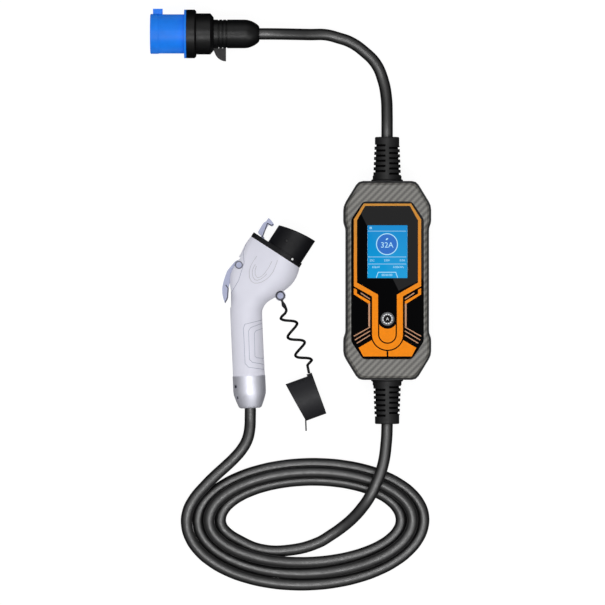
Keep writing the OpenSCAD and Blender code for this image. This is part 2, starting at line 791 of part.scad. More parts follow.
// Ribbed strain relief: a flange inside the wall, a neck through it, and a slotted boot outside
module relief() {
    color("black") difference() {
        rotate_extrude() polygon([
            [cord_bore_r, -box_wall - relief_back], [relief_neck_r + 2.5, -box_wall - relief_back],
            [relief_neck_r + 2.5, -box_wall], [relief_neck_r, -box_wall], [relief_neck_r, 0],
            [relief_flare_r, 0], [relief_flare_r, 1.2], [relief_flare_r - 0.8, 2], [16, 2],
            [16, relief_boot_start], [relief_boot_r, relief_boot_start], [relief_tip_r, relief_boot_end],
            [13.5, relief_boot_end], [13.5, relief_length - 0.8], [12.7, relief_length],
            [cord_bore_r, relief_length]]);
        for (side = [0, 1], i = [0:slot_count - 1]) {
            at = relief_boot_start + 1 + slot_pitch * (i + side / 2);
            translate([0, 0, at]) rotate([0, 0, 180 * side - slot_turn / 2]) {
                rotate_extrude(angle = slot_turn) translate([boot_r(at) - slot_depth, 0]) {
                    square([2 * slot_depth, slot_width]);
                }
            }
        }
    }
}

module input_relief() { at_input_end() relief(); }
module output_relief() { mirror([0, 1, 0]) at_input_end() relief(); }

// Mains plug

module plug_shroud() {
    inner = shroud_r - shroud_wall;
    color("dodgerblue") at_plug() {
        rotate_extrude() polygon([
            [inner, 0], [lip_r - 0.6, 0], [lip_r, 0.6], [lip_r, lip_length], [shroud_r, lip_length + 0.4],
            [shroud_r, plug_flange_at], [plug_flange_r, plug_flange_at], [plug_flange_r, plug_collar_at],
            [inner - 4, plug_collar_at], [inner - 4, plug_collar_at - 2], [inner, plug_collar_at - 2]]);
        translate([-4, shroud_r - 0.4, 2.9]) cube([8, 6.4, 10.6]);
    }
}

module plug_pin_carrier() {
    color("midnightblue") at_plug() difference() {
        translate([0, 0, plug_face]) cylinder(r = carrier_r, h = plug_collar_at - 2 - plug_face);
        for (a = [60, 300]) rotate([0, 0, a]) translate([0, pin_circle_r, plug_face - 1]) {
            cylinder(r = line_pin_d / 2 - pin_shoulder, h = 9);
        }
        rotate([0, 0, 180]) translate([0, pin_circle_r, plug_face - 1]) {
            cylinder(r = earth_pin_d / 2 - pin_shoulder, h = 9);
        }
    }
}

module plug_pin(turn, d, tip) {
    color("goldenrod") at_plug() rotate([0, 0, turn]) translate([0, pin_circle_r, 0])
    rotate_extrude() polygon([
        [0, tip], [d / 2 - 0.8, tip], [d / 2, tip + 0.8], [d / 2, plug_face],
        [d / 2 - pin_shoulder, plug_face],
        [d / 2 - pin_shoulder, plug_collar_at - 2], [0, plug_collar_at - 2]]);
}

module plug_line_pin() { plug_pin(60, line_pin_d, 4); }
module plug_neutral_pin() { plug_pin(300, line_pin_d, 4); }
module plug_earth_pin() { plug_pin(180, earth_pin_d, 2); }

module plug_collar() {
    color("black") at_plug() rotate_extrude() polygon([
        [rear_r - 3, plug_collar_at], [plug_flange_r, plug_collar_at],
        [plug_flange_r, plug_rear_at - collar_chamfer],
        [plug_flange_r - collar_chamfer, plug_rear_at], [rear_r - 3, plug_rear_at]]);
}

module plug_rear_shell() {
    color("black") at_plug() rotate_extrude() polygon([
        [rear_r - 3, plug_rear_at], [rear_r, plug_rear_at], [rear_r, plug_gland_at - 3.6],
        [18.4, plug_gland_at],
        [cord_bore_r, plug_gland_at], [cord_bore_r, plug_gland_at - 3], [16, plug_gland_at - 3],
        [rear_r - 3, plug_gland_at - 6]]);
}

module plug_gland_nut() {
    color("black") at_plug() difference() {
        rotate_extrude() polygon([
            [11, plug_gland_at], [gland_r, plug_gland_at],
            each [for (q = gland_nose) [gland_r * q[0], plug_end - gland_nose_length * q[1]]],
            [cord_bore_r, plug_end], [cord_bore_r, plug_end - 12], [11, plug_end - 14]]);
        for (i = [0:2]) translate([0, 0, plug_gland_at + 5 + 4.4 * i]) difference() {
            cylinder(r = gland_r + 1, h = 1.2);
            cylinder(r = gland_r - 0.8, h = 1.2);
        }
    }
}

module plug_gland_seal() {
    color("dimgray") at_plug() translate([0, 0, plug_gland_at]) difference() {
        cylinder(r = 11 - pin_gap, h = 20);
        translate([0, 0, -1]) cylinder(r = cord_bore_r, h = 22);
    }
}

module plug_lock_tongue() {
    reach = 30.4;
    curve = 13;
    outline = concat([[14, plug_gland_at], [rear_r - 4.4, plug_gland_at]],
        arc([reach - curve, plug_gland_at + 13.7], curve, -70, 0, 6), [[14, plug_gland_at + 13.7]]);
    color("lightsteelblue") at_plug() difference() {
        rotate([0, 0, -90]) rotate([90, 0, 0]) linear_extrude(4, center = true) polygon(outline);
        cylinder(r = gland_r, h = plug_end);
    }
}

// Cords

module input_cord() { color("black") tube(input_route, cord_r); }
module output_lead_in() { color("black") tube(lead_in_route, cord_r); }
module output_lead_out() { color("black") tube(lead_out_route, cord_r); }

module output_coil() {
    color([0.12, 0.12, 0.12]) linear_extrude(cord_d) difference() {
        translate(coil_at) polygon(oval(coil_half, coil_end_r, 16));
        translate(coil_hole_at) polygon(oval(coil_hole_half, coil_hole_end_r, 16));
    }
}

// Vehicle connector

module body_half(side) {
    rings = [for (row = smooth_rows(body_rows, row_steps)) shell_ring(row, side)];
    n = len(rings[0]);
    m = len(rings);
    half = n / 2;
    sides = [for (j = [0:m - 2], i = [0:n - 1]) let (a = j * n + i, b = j * n + (i + 1) % n)
        each [[a, a + n, b + n], [a, b + n, b]]];
    first = [for (i = [0:half - 2]) let (k = n - 1 - i) each [[i, i + 1, k], [i + 1, k - 1, k]]];
    last = [for (f = first) (m - 1) * n * [1, 1, 1] + [f[0], f[2], f[1]]];
    polyhedron([for (r = rings) each r], concat(sides, first, last), convexity = 8);
}

// Cuts that both halves share: the latch's channel, its pin, and the screws' clearance
module shell_cuts() {
    translate([pivot[0], pivot[1], 0]) {
        translate([0, 0, -channel_half]) linear_extrude(2 * channel_half) polygon(channel);
        cylinder(d = latch_pin_d, h = 40, center = true);
        for (s = [0, 1]) mirror([0, 0, s]) {
            translate([0, 0, pin_head_z]) cylinder(r = pin_head_r + pin_gap, h = 20);
        }
    }
}

module connector_top_shell() {
    color("whitesmoke") at_gun() difference() {
        union() {
            body_half(1);
            for (p = shell_screws) translate([p[0], p[1], 0]) cylinder(r = shell_boss_r, h = p[2]);
            translate([tether_at[0] - gun[0], tether_at[1] - gun[1], 0]) rotate([0, 0, tether_edge_angle]) {
                translate([-7, 3.4, 0]) cube([14, 6, 5]);
            }
        }
        shell_cuts();
        for (p = shell_screws) translate([p[0], p[1], -1]) {
            cylinder(r = shell_screw_r, h = shell_screw_top + 1.2);
        }
        translate([tether_at[0] - gun[0], tether_at[1] - gun[1], -eps]) cylinder(r = eye_r + 0.3, h = 30);
    }
}

module connector_bottom_shell() {
    color("whitesmoke") at_gun() difference() {
        union() {
            body_half(-1);
            for (p = shell_screws) translate([p[0], p[1], -p[2]]) cylinder(r = shell_boss_r, h = p[2]);
            translate([switch_at[0], switch_at[1], -switch_post_depth]) {
                cylinder(r = switch_post_r, h = switch_post_depth - switch_size[2] / 2);
            }
            translate([tether_at[0] - gun[0], tether_at[1] - gun[1], -lug_depth]) {
                cylinder(r = lug_r, h = lug_depth);
                rotate([0, 0, tether_edge_angle]) translate([-lug_r, 0, 0]) cube([2 * lug_r, 6, lug_depth]);
            }
        }
        shell_cuts();
        for (p = shell_screws) translate([p[0], p[1], -30]) {
            cylinder(r = shell_head_r + pin_gap, h = 30 + shell_head_seat - p[2]);
            cylinder(r = shell_screw_r + pin_gap, h = 32);
        }
        translate([tether_at[0] - gun[0], tether_at[1] - gun[1], 0.8 - lug_depth]) {
            cylinder(r = tether_screw_r, h = lug_depth + 1);
        }
    }
}

module connector_flange() {
    half = half_egg(flange_reach + flange_small_r + flange_r, flange_r, flange_small_r, 18);
    outline = concat(half, [for (i = [len(half) - 2:-1:1]) [half[i][0], -half[i][1]]]);
    color("black") at_nozzle() difference() {
        translate([0, 0, -flange_thickness]) linear_extrude(flange_thickness) {
            polygon([for (q = outline) [q[1], flange_reach + flange_small_r - q[0]]]);
        }
        translate([0, 0, -contact_disc_back]) cylinder(r = nozzle_bore_r, h = 10);
        translate([0, 0, -10]) cylinder(r = nozzle_bore_r - 1.6, h = 12);
        translate([-channel_half, slot_near, -10]) cube([2 * channel_half, slot_far - slot_near, 20]);
    }
}

module connector_nozzle() {
    tilt = atan(nozzle_slant / (2 * nozzle_r));
    color([0.13, 0.13, 0.14]) at_nozzle() difference() {
        intersection() {
            cylinder(r = nozzle_r, h = nozzle_length + 4);
            translate([0, 0, nozzle_length - nozzle_slant / 2 + nozzle_dome]) rotate([-tilt, 0, 0]) {
                translate([0, 0, -nozzle_end_r]) rotate([0, 90, 0]) {
                    cylinder(r = nozzle_end_r, h = 3 * nozzle_r, center = true, $fn = 360);
                }
            }
        }
        translate([0, 0, -1]) cylinder(r = nozzle_bore_r, h = nozzle_length + 8);
    }
}

module contact_places(d, places) {
    for (p = places) translate([p[0], p[1], 0]) cylinder(r = d / 2, h = 60, center = true);
}

module contact_carrier() {
    power = [power_at, [-power_at[0], power_at[1]]];
    signals = [signal_at, [-signal_at[0], signal_at[1]]];
    color([0.2, 0.2, 0.22]) at_nozzle() difference() {
        union() {
            translate([0, 0, -contact_disc_back]) {
                cylinder(r = nozzle_bore_r - pin_gap, h = contact_disc_back + contact_disc_front);
            }
            for (p = power) translate([p[0], p[1], 0]) cylinder(r = 5, h = tower_top);
            for (p = signals) translate([p[0], p[1], 0]) cylinder(r = 3.6, h = tower_top);
            translate([earth_at[0], earth_at[1], 0]) cylinder(r = 4.3, h = tower_top);
        }
        contact_places(power_bore_d + 2 * contact_wall, power);
        contact_places(signal_bore_d + 2 * contact_wall, signals);
        contact_places(earth_bore_d + 2 * contact_wall, [earth_at]);
    }
}

module contact(at, bore_d) {
    color("goldenrod") at_nozzle() translate([at[0], at[1], 0]) difference() {
        translate([0, 0, -contact_back]) {
            cylinder(r = bore_d / 2 + contact_wall, h = contact_back + contact_front);
        }
        translate([0, 0, contact_bore_floor]) cylinder(r = bore_d / 2, h = contact_front);
    }
}

module line_contact() { contact(power_at, power_bore_d); }
module neutral_contact() { contact([-power_at[0], power_at[1]], power_bore_d); }
module earth_contact() { contact(earth_at, earth_bore_d); }
module pilot_contact() { contact(signal_at, signal_bore_d); }
module sense_contact() { contact([-signal_at[0], signal_at[1]], signal_bore_d); }

module latch_lever() {
    color("lightsteelblue") at_pivot() difference() {
        translate([0, 0, -latch_half]) linear_extrude(latch_thickness) {
            polygon(round_ring(latch_arm, 1.4, 2));
            circle(r = hub_r);
            polygon(round_ring(latch_thumb, 2, 2));
        }
        cylinder(r = latch_pin_d / 2 + pin_gap, h = 30, center = true);
        translate([0, 0, latch_half - spring_pocket_depth]) cylinder(r = spring_pocket_r, h = 10);
    }
}

module latch_pin() {
    color("silver") at_pivot() {
        cylinder(d = latch_pin_d, h = 2 * pin_head_z, center = true);
        for (s = [0, 1]) mirror([0, 0, s]) translate([0, 0, pin_head_z]) {
            cylinder(r = pin_head_r, h = pin_head_h);
        }
    }
}

module latch_spring() {
    color("gray") at_pivot() translate([0, 0, latch_half - spring_pocket_depth + spring_wire_r]) {
        for (i = [0, 1]) translate([0, 0, 1.9 * spring_wire_r * i]) {
            rotate_extrude() translate([spring_r, 0]) circle(r = spring_wire_r, $fn = 24);
        }
    }
}

module latch_switch() {
    color("black") at_gun() translate([switch_at[0], switch_at[1], 0]) cube(switch_size, center = true);
}

module tail_cap() {
    color("silver") at_tail() difference() {
        rotate_extrude() polygon([
            [tail_spigot_r - 2, -8], [tail_spigot_r, -8], [tail_spigot_r, 0], [tail_r, 0], [tail_r, 17],
            [17.7, 20.5], [16, 26], [13.2, 33.2], [12.2, 34.9], [10.6, tail_length],
            [cord_bore_r, tail_length], [cord_bore_r, 31], [9, 31], [12.5, 24], [tail_spigot_r - 2, 20]]);
        for (i = [0, 1]) at_tail_screw(i) {
            cylinder(r = board_screw_r, h = tail_r);
            translate([0, 0, tail_head_seats[i]]) cylinder(r = board_head_r + pin_gap, h = tail_r);
        }
    }
}

module at_tail_screw(i) {
    translate([0, 0, tail_screws[i]]) rotate([0, 0, tail_screw_turn]) rotate([0, 90, 0]) children();
}

module tail_cap_screws() {
    color("dimgray") at_tail() for (i = [0, 1]) at_tail_screw(i) {
        translate([0, 0, tail_head_seats[i]]) cylinder(r = board_head_r, h = board_head_h);
        translate([0, 0, tail_screw_end]) {
            cylinder(r = board_screw_r, h = tail_head_seats[i] - tail_screw_end + eps);
        }
    }
}

module tail_seal() {
    color("black") at_tail() translate([0, 0, 2]) difference() {
        cylinder(r = tail_spigot_r - 2 - pin_gap, h = 16);
        translate([0, 0, -1]) cylinder(r = cord_bore_r, h = 20);
    }
}

module connector_screws() {
    color("silver") at_gun() for (p = shell_screws) translate([p[0], p[1], shell_head_seat - p[2]]) {
        translate([0, 0, -shell_head_h]) cylinder(r = shell_head_r, h = shell_head_h);
        translate([0, 0, -eps]) cylinder(r = shell_screw_r, h = shell_screw_top - shell_head_seat + p[2]);
    }
}

// Tether and dust cap

module tether_screw() {
    color("silver") translate(tether_at) {
        translate([0, 0, 1 - lug_depth]) cylinder(r = tether_screw_r, h = lug_depth + eye_h);
        translate([0, 0, eye_h]) cylinder(r = tether_head_r, h = tether_head_h);
    }
}

module tether_eye() {
    color("black") translate(tether_at) difference() {
        union() {
            cylinder(r = eye_r, h = eye_h);
            tube(tether_neck, tether_neck_r, 8);
        }
        translate([0, 0, -1]) cylinder(r = tether_screw_r, h = 9);
    }
}

module tether_cord() { color([0.1, 0.1, 0.1]) tube(tether_route, tether_r, 8); }

module dust_cap() {
    slant = atan((cap_length - cap_short) / (2 * cap_outer_r));
    middle = (cap_length + cap_short) / 2;
    color([0.1, 0.1, 0.1]) translate(cap_at) rotate([0, 0, cap_angle]) {
        rotate([0, -90, 0]) difference() {
            union() {
                cylinder(r = cap_outer_r, h = cap_length);
                translate([tether_r - cap_outer_r - 4, 14, 0]) cube([8, lug_reach - 14, 6]);
            }
            difference() {
                translate([0, 0, -1]) cylinder(r = cap_r, h = cap_length + 2);
                translate([0, 0, middle - cap_end_wall]) rotate([slant, 0, 0]) translate([-40, -40, 0]) {
                    cube([80, 80, 40]);
                }
            }
            translate([0, 0, middle]) rotate([slant, 0, 0]) translate([-40, -40, 0]) cube([80, 80, 40]);
        }
        translate([-cap_short, -cap_outer_r + 1, 0]) rotate([0, 0, -108]) {
            translate([-3, -strap_thickness / 2, -strap_height / 2]) {
                cube([strap_length, strap_thickness, strap_height]);
            }
        }
    }
}

back_shell();
front_frame();
gasket();
face_panel();
face_trim();
face_lines();
lcd_window();
lcd_module();
display_board();
board_screws();
button_bezel();
button_light_ring();
mode_button();
tact_switch();
main_board();
power_relays();
current_sensor();
supply_module();
terminal_blocks();
back_screws();
input_relief();
output_relief();
plug_shroud();
plug_pin_carrier();
plug_line_pin();
plug_neutral_pin();
plug_earth_pin();
plug_collar();
plug_rear_shell();
plug_gland_nut();
plug_gland_seal();
plug_lock_tongue();
input_cord();
output_lead_in();
output_coil();
output_lead_out();
connector_top_shell();
connector_bottom_shell();
connector_flange();
connector_nozzle();
contact_carrier();
line_contact();
neutral_contact();
earth_contact();
pilot_contact();
sense_contact();
latch_lever();
latch_pin();
latch_spring();
latch_switch();
tail_cap();
tail_cap_screws();
tail_seal();
connector_screws();
tether_screw();
tether_eye();
tether_cord();
dust_cap();
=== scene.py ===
"""Finishes, cords, display picture and moulded details of a portable charger for electric cars."""

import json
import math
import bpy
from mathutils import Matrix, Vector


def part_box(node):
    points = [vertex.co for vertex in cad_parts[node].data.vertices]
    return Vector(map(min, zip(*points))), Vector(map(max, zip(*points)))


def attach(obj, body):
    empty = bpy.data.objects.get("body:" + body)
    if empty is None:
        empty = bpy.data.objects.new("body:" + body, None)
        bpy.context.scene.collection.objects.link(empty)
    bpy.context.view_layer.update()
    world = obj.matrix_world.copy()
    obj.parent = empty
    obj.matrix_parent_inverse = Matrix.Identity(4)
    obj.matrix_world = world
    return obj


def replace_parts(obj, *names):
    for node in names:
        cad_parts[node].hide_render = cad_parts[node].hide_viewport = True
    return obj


bl_info = {
    "name": "Portable charger dressing",
    "version": (1, 0, 0),
    "blender": (4, 5, 0),
    "location": "View3D > Sidebar > Charger",
    "description": "Builds the finishes, cords and fine details of a portable charger on its packed solids",
    "category": "Object",
}

import bmesh
import bpy
from bpy.props import FloatProperty, FloatVectorProperty, PointerProperty, StringProperty
from mathutils import Matrix, Vector
from mathutils.bvhtree import BVHTree
from mathutils.geometry import intersect_point_line

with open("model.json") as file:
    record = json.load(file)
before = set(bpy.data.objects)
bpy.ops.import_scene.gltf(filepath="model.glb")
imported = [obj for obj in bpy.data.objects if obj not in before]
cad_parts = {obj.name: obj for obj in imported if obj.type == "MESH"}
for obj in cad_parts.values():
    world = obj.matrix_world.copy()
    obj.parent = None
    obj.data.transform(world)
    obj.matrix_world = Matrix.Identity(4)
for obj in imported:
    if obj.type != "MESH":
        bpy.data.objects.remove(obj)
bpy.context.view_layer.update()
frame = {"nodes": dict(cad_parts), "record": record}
MM = 0.001
CHARGER = "charger"
BUTTON = "button"
LATCH = "latch"
DRESSED = "_dressed"
LEVEL_PLANE, CROSS_PLANE = (1.0, 1.0, 0.0), (1.0, 0.0, 1.0)
NODE_BODIES = {node: body for body, nodes in frame["record"]["behaviour"]["bodies"].items() for node in nodes}

# Lengths from here on are in millimetres, unless a name or a comment says otherwise
PRINT_THICKNESS, PRINT_MERGE = 0.12, 1e-4
LETTER_SIZE = 1.37
RING_STEPS, DISC_STEPS = 72, 48
LINE_STEP, LINE_SINK, LINE_ROUNDNESS = 1.2, 0.5, 2
DOT_RISE, DOT_SEGMENTS, DOT_RINGS = 0.5, 24, 12
CORD_ROUNDNESS, CORD_STEPS, TETHER_STEPS = 5, 6, 4
RIM_DEPTH, RIM_BLUR = 2.1, 0.4
BOOT_TIP, BOOT_TAPER, BOOT_RADIUS = 9.7, 0.042, 13.9
SLOT_FLOOR, SLOT_EDGE, SLOT_SHADE, BOOT_GLOSS = -1.3, -0.7, 0.35, 0.3
# Span of Y in millimetres over which the trim turns to its painted reflection colour
TRIM_REFLECTION_SPAN = (-20.0, 84.0)
TWILL, SLANT_TONE, OVER_TONE, CROWN_TONE = 4.0, 0.3, 0.14, 0.26
COAT_ROUGHNESS = 0.08
FLAT_ANGLE, EDGE_ANGLE = math.radians(1.0), math.radians(32.0)
# Metres
MERGE_DISTANCE = 2e-6
DROP_HEIGHT, DOWN = 1.0, (0.0, 0.0, -1.0)


def srgb(red, green, blue):
    """A screen colour from 0 to 255 as the linear colour that a shader takes."""
    def linear(value):
        share = value / 255
        return share / 12.92 if share <= 0.04045 else ((share + 0.055) / 1.055) ** 2.4
    return (linear(red), linear(green), linear(blue), 1.0)


def colour_property(name, description, default):
    """A colour that a user can change in the panel."""
    return FloatVectorProperty(name=name, description=description, default=default, size=4, subtype="COLOR",
                               min=0.0, max=1.0)


def length_property(name, description, default_mm):
    """A length that a user can change in the panel, given here in millimetres."""
    return FloatProperty(name=name, description=description, default=default_mm * MM, unit="LENGTH",
                         precision=5)


def number_property(name, description, default):
    """A plain number that a user can change in the panel."""
    return FloatProperty(name=name, description=description, default=default)


class ChargerStageSettings(bpy.types.PropertyGroup):
    """Camera, floor and lights."""
    view_x: length_property("View centre X", "Where the camera looks, across", -93.8)
    view_y: length_property("View centre Y", "Where the camera looks, along", -24.4)
    view_width: length_property("View width", "Width of the floor that the picture shows", 671.6)
    camera_height: length_property("Camera height", "Height of the camera above the floor", 6000)
    floor_colour: colour_property("Floor", "Colour of the floor", (0.12, 0.12, 0.12, 1.0))
    floor_glow: number_property("Floor glow", "Light that the floor itself gives off", 0.93)
    world_light: number_property("Sky light", "Strength of the even light from all round", 0.32)
    key_power: number_property("Key light", "Power of the main light in watts", 7.6)
    box_power: number_property("Soft boxes", "Power of each soft box over the cords in watts", 7.0)
    card_power: number_property("Card light", "Power of the card that the panel mirrors, in watts", 0.07)


class ChargerCordSettings(bpy.types.PropertyGroup):
    """Cords and their coil."""
    cord_diameter: length_property("Cord diameter", "Outer diameter of the mains and output cords", 12.8)
    tether_diameter: length_property("Tether diameter", "Diameter of the curly tether's own strand", 3.0)
    curl_rise: length_property("Curl rise", "How far the tether's strand rises and falls in its curl", 6.6)
    coil_pitch: length_property("Coil pitch", "How far each turn of the coil lies outside the last", 12.5)
    jacket_colour: colour_property("Cord jacket", "Colour of the cords", srgb(11, 11, 12))


class ChargerBoxSettings(bpy.types.PropertyGroup):
    """Control box and its front panel."""
    weave_pitch: length_property("Weave pitch", "Width of one strand of the frame's woven pattern", 1.9)
    weave_light: colour_property("Weave light", "Lighter strands of the frame", srgb(132, 130, 125))
    weave_dark: colour_property("Weave dark", "Darker strands of the frame", srgb(70, 69, 66))
    # Partly the frame's dark edge and partly painted shade on the frame's sides
    frame_rim_and_shade_colour: colour_property("Frame rim", "Colour of the frame's dark outer edge", srgb(46, 46, 47))
    shell_colour: colour_property("Back shell", "Colour of the back shell", srgb(60, 60, 62))
    panel_colour: colour_property("Panel", "Colour of the glossy panel", srgb(8, 8, 9))
    trim_colour: colour_property("Trim", "Colour of the printed trim", srgb(250, 140, 2))
    # Painted reflection: the trim's colour along the panel's top
    trim_reflection_colour: colour_property("Trim top", "Colour of the trim along the panel's top",
                                     srgb(206, 142, 58))
    line_colour: colour_property("Fine lines", "Colour of the fine printed lines", srgb(198, 148, 116))
    screen_top: colour_property("Screen top", "Colour at the top of the display", srgb(0, 142, 214))
    screen_bottom: colour_property("Screen bottom", "Colour at the bottom of the display", srgb(16, 162, 226))
    mark_colour: colour_property("Display marks", "Colour of the display's lines and figures",
                                 srgb(176, 226, 250))
    dial_colour: colour_property("Display dial", "Colour inside the display's ring", srgb(44, 110, 198))
    readout: StringProperty(name="Readout", description="Large figures on the display", default="32A")


class ChargerConnectorSettings(bpy.types.PropertyGroup):
    """Vehicle connector, plug and dust cap."""
    body_colour: colour_property("Connector body", "Colour of the connector's body", srgb(230, 230, 242))
    latch_colour: colour_property("Latch", "Colour of the latch lever", srgb(170, 175, 204))
    # The same colour also paints the shade along the latch's shaded edges
    pin_rim_and_latch_shade_colour: colour_property("Pin rims", "Colour of the dark rims of the pins' heads",
                                    srgb(84, 86, 100))
    # Painted shade: greyer copies of the body's white for its grooves, its side edge and the collar's ridges
    groove_shade_colour: colour_property("Grooves", "Colour in the body's fine grooves", srgb(160, 162, 182))
    ridge_shade_colour: colour_property("Ridges", "Colour of the fine ridges on the collar", srgb(188, 186, 194))
    groove_radius: length_property("Groove radius", "Half width of the body's fine grooves", 0.32)
    nozzle_colour: colour_property("Nozzle", "Colour of the nozzle and its flange", srgb(22, 22, 25))
    tail_colour: colour_property("Tail cap", "Colour of the satin tail cap", srgb(232, 233, 244))
    tail_screw_colour: colour_property("Tail screws", "Colour of the tail cap's screws", srgb(74, 76, 88))
    cap_colour: colour_property("Dust cap", "Colour of the dust cap", srgb(39, 39, 42))
    plug_blue: colour_property("Plug blue", "Colour of the plug's shroud", srgb(18, 130, 252))
    plug_black: colour_property("Plug black", "Colour of the plug's rear", srgb(11, 11, 12))
    rubber_colour: colour_property("Rubber", "Colour of the strain reliefs", srgb(25, 25, 26))


def settings(group):
    """The scene's settings of one group."""
    return getattr(bpy.context.scene, group)


class Finish:
    """A node material while it is put together."""

    def __init__(self, name, colour, roughness, metallic=0.0, coat=0.0):
        self.material = bpy.data.materials.new(name)
        self.material.use_nodes = True
        self.tree = self.material.node_tree
        self.shader = self.tree.nodes["Principled BSDF"]
        self.set("Base Color", tuple(colour))
        self.set("Roughness", roughness)
        self.set("Metallic", metallic)
        self.set("Coat Weight", coat)
        self.set("Coat Roughness", COAT_ROUGHNESS)

    def set(self, socket, value):
        """Sets one value of the shader."""
        self.shader.inputs[socket].default_value = value

    def node(self, kind, inputs=None, **attributes):
        """A new node with its attributes and the values of its unlinked sockets."""
        made = self.tree.nodes.new(kind)
        for key, value in attributes.items():
            setattr(made, key, value)
        for key, value in (inputs or {}).items():
            made.inputs[key].default_value = value
        return made

    def link(self, start, end):
        """Joins an output socket to an input socket."""
        self.tree.links.new(start, end)

    def place(self, unit_mm=1.0):
        """Object coordinates in millimetres, or in another unit."""
        where = self.node("ShaderNodeTexCoord")
        scale = 1.0 / unit_mm / MM
        mapping = self.node("ShaderNodeMapping", {"Scale": (scale, scale, scale)})
        self.link(where.outputs["Object"], mapping.inputs["Vector"])
        return mapping.outputs["Vector"]

    def axes(self, vector):
        """The X, Y and Z of a vector, as sockets."""
        parts = self.node("ShaderNodeSeparateXYZ")
        self.link(vector, parts.inputs["Vector"])
        return parts.outputs

    def noise(self, vector, size_mm, detail=3.0):
        """Noise whose spots are about size_mm across."""
        made = self.node("ShaderNodeTexNoise", {"Scale": 1.0 / size_mm, "Detail": detail})
        self.link(vector, made.inputs["Vector"])
        return made.outputs["Fac"]

    def spread(self, value, low, high, from_low=0.3, from_high=0.7):
        """A value mapped to another span."""
        made = self.node("ShaderNodeMapRange", {"From Min": from_low, "From Max": from_high,
                                                "To Min": low, "To Max": high})
        self.link(value, made.inputs["Value"])
        return made.outputs["Result"]

    def blend(self, share, first, second):
        """A mix of two colours by a share."""
        made = self.node("ShaderNodeMix", data_type="RGBA")
        self.link(share, made.inputs["Factor"])
        colour_a, colour_b = [s for s in made.inputs if s.type == "RGBA"]
        self.feed(first, colour_a)
        self.feed(second, colour_b)
        return [s for s in made.outputs if s.type == "RGBA"][0]

    def feed(self, value, socket):
        """A constant goes on the socket itself and an output is linked to it."""
        if isinstance(value, bpy.types.NodeSocket):
            self.link(value, socket)
        else:
            socket.default_value = value

    def math(self, operation, first, second=0.0):
        """One math node."""
        made = self.node("ShaderNodeMath", operation=operation)
        self.feed(first, made.inputs[0])
        self.feed(second, made.inputs[1])
        return made.outputs["Value"]

    def reach(self, centre, plane):
        """Distance in millimetres from an axis that stands on a plane, given as the plane's mask."""
        level = self.node("ShaderNodeVectorMath", {1: plane}, operation="MULTIPLY")
        self.link(self.place(), level.inputs[0])
        foot = tuple(c * m for c, m in zip(centre, plane))
        gap = self.node("ShaderNodeVectorMath", {1: foot}, operation="DISTANCE")
        self.link(level.outputs["Vector"], gap.inputs[0])
        return gap.outputs["Value"]

    def upright(self, low, high):
        """A share that goes from 0 on steep faces to 1 on faces that look up or down."""
        facing = self.axes(self.node("ShaderNodeNewGeometry").outputs["Normal"])
        return self.spread(self.math("ABSOLUTE", facing["Z"]), 0.0, 1.0, low, high)

    def paint(self, colour):
        """Links a colour to the shader."""
        self.link(colour, self.shader.inputs["Base Color"])

    def rough(self, value):
        """Links a roughness to the shader."""
        self.link(value, self.shader.inputs["Roughness"])

    def bump(self, height, distance_mm, strength):
        """Fine relief from a height."""
        made = self.node("ShaderNodeBump", {"Strength": strength, "Distance": distance_mm * MM})
        self.link(height, made.inputs["Height"])
        self.link(made.outputs["Normal"], self.shader.inputs["Normal"])


def shade(colour, share):
    """A lighter or darker colour of the same hue."""
    return tuple(min(1.0, c * share) for c in colour[:3]) + (1.0,)


def new_object(name, data):
    """An object at the origin in the scene's collection."""
    obj = bpy.data.objects.new(name, data)
    bpy.context.scene.collection.objects.link(obj)
    return obj


def mesh_object(name, bm):
    """An object from a finished shape."""
    mesh = bpy.data.meshes.new(name)
    bm.to_mesh(mesh)
    bm.free()
    return new_object(name, mesh)


def curve_mesh(obj):
    """The mesh that a curve or a text makes, which takes the place of its object."""
    bpy.context.view_layer.update()
    mesh = bpy.data.meshes.new_from_object(obj.evaluated_get(bpy.context.evaluated_depsgraph_get()))
    curve = obj.data
    bpy.data.objects.remove(obj)
    bpy.data.curves.remove(curve)
    return mesh


def round_curve(name, radius, roundness):
    """An empty curve with a round section and closed ends."""
    curve = bpy.data.curves.new(name, "CURVE")
    curve.dimensions = "3D"
    curve.bevel_depth = radius
    curve.bevel_resolution = roundness
    curve.use_fill_caps = True
    return curve


def put(obj, finish, body):
    """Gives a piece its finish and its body."""
    obj.data.materials.clear()
    obj.data.materials.append(finish.material)
    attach(obj, body)
    return obj


def paint_node(node, finish):
    """Gives a solid that keeps its own mesh a finish."""
    obj = frame["nodes"][node]
    if not obj.material_slots:
        obj.data.materials.append(None)
    for place in obj.material_slots:
        place.link = "OBJECT"
        place.material = finish.material


def dressed_copy(node, finish, bevel_mm, segments=2, merge_flat=True):
    """A merged copy of a solid with softened edges in place of the solid itself."""
    mesh = frame["nodes"][node].data.copy()
    mesh.name = node + DRESSED
    if "custom_normal" in mesh.attributes:
        mesh.attributes.remove(mesh.attributes["custom_normal"])
    bm = bmesh.new()
    bm.from_mesh(mesh)
    bmesh.ops.remove_doubles(bm, verts=bm.verts[:], dist=MERGE_DISTANCE)
    if merge_flat:
        bmesh.ops.dissolve_limit(bm, angle_limit=FLAT_ANGLE, verts=bm.verts[:], edges=bm.edges[:])
    for face in bm.faces:
        face.smooth = True
        face.material_index = 0
    for edge in bm.edges:
        edge.smooth = edge.is_manifold and edge.calc_face_angle(0.0) < EDGE_ANGLE
    bm.to_mesh(mesh)
    bm.free()
    obj = new_object(mesh.name, mesh)
    soft = obj.modifiers.new("Soft edges", "BEVEL")
    soft.width = bevel_mm * MM
    soft.segments = segments
    soft.limit_method = "ANGLE"
    soft.angle_limit = EDGE_ANGLE
    soft.use_clamp_overlap = True
    soft.harden_normals = True
    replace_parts(obj, node)
    return put(obj, finish, NODE_BODIES[node])


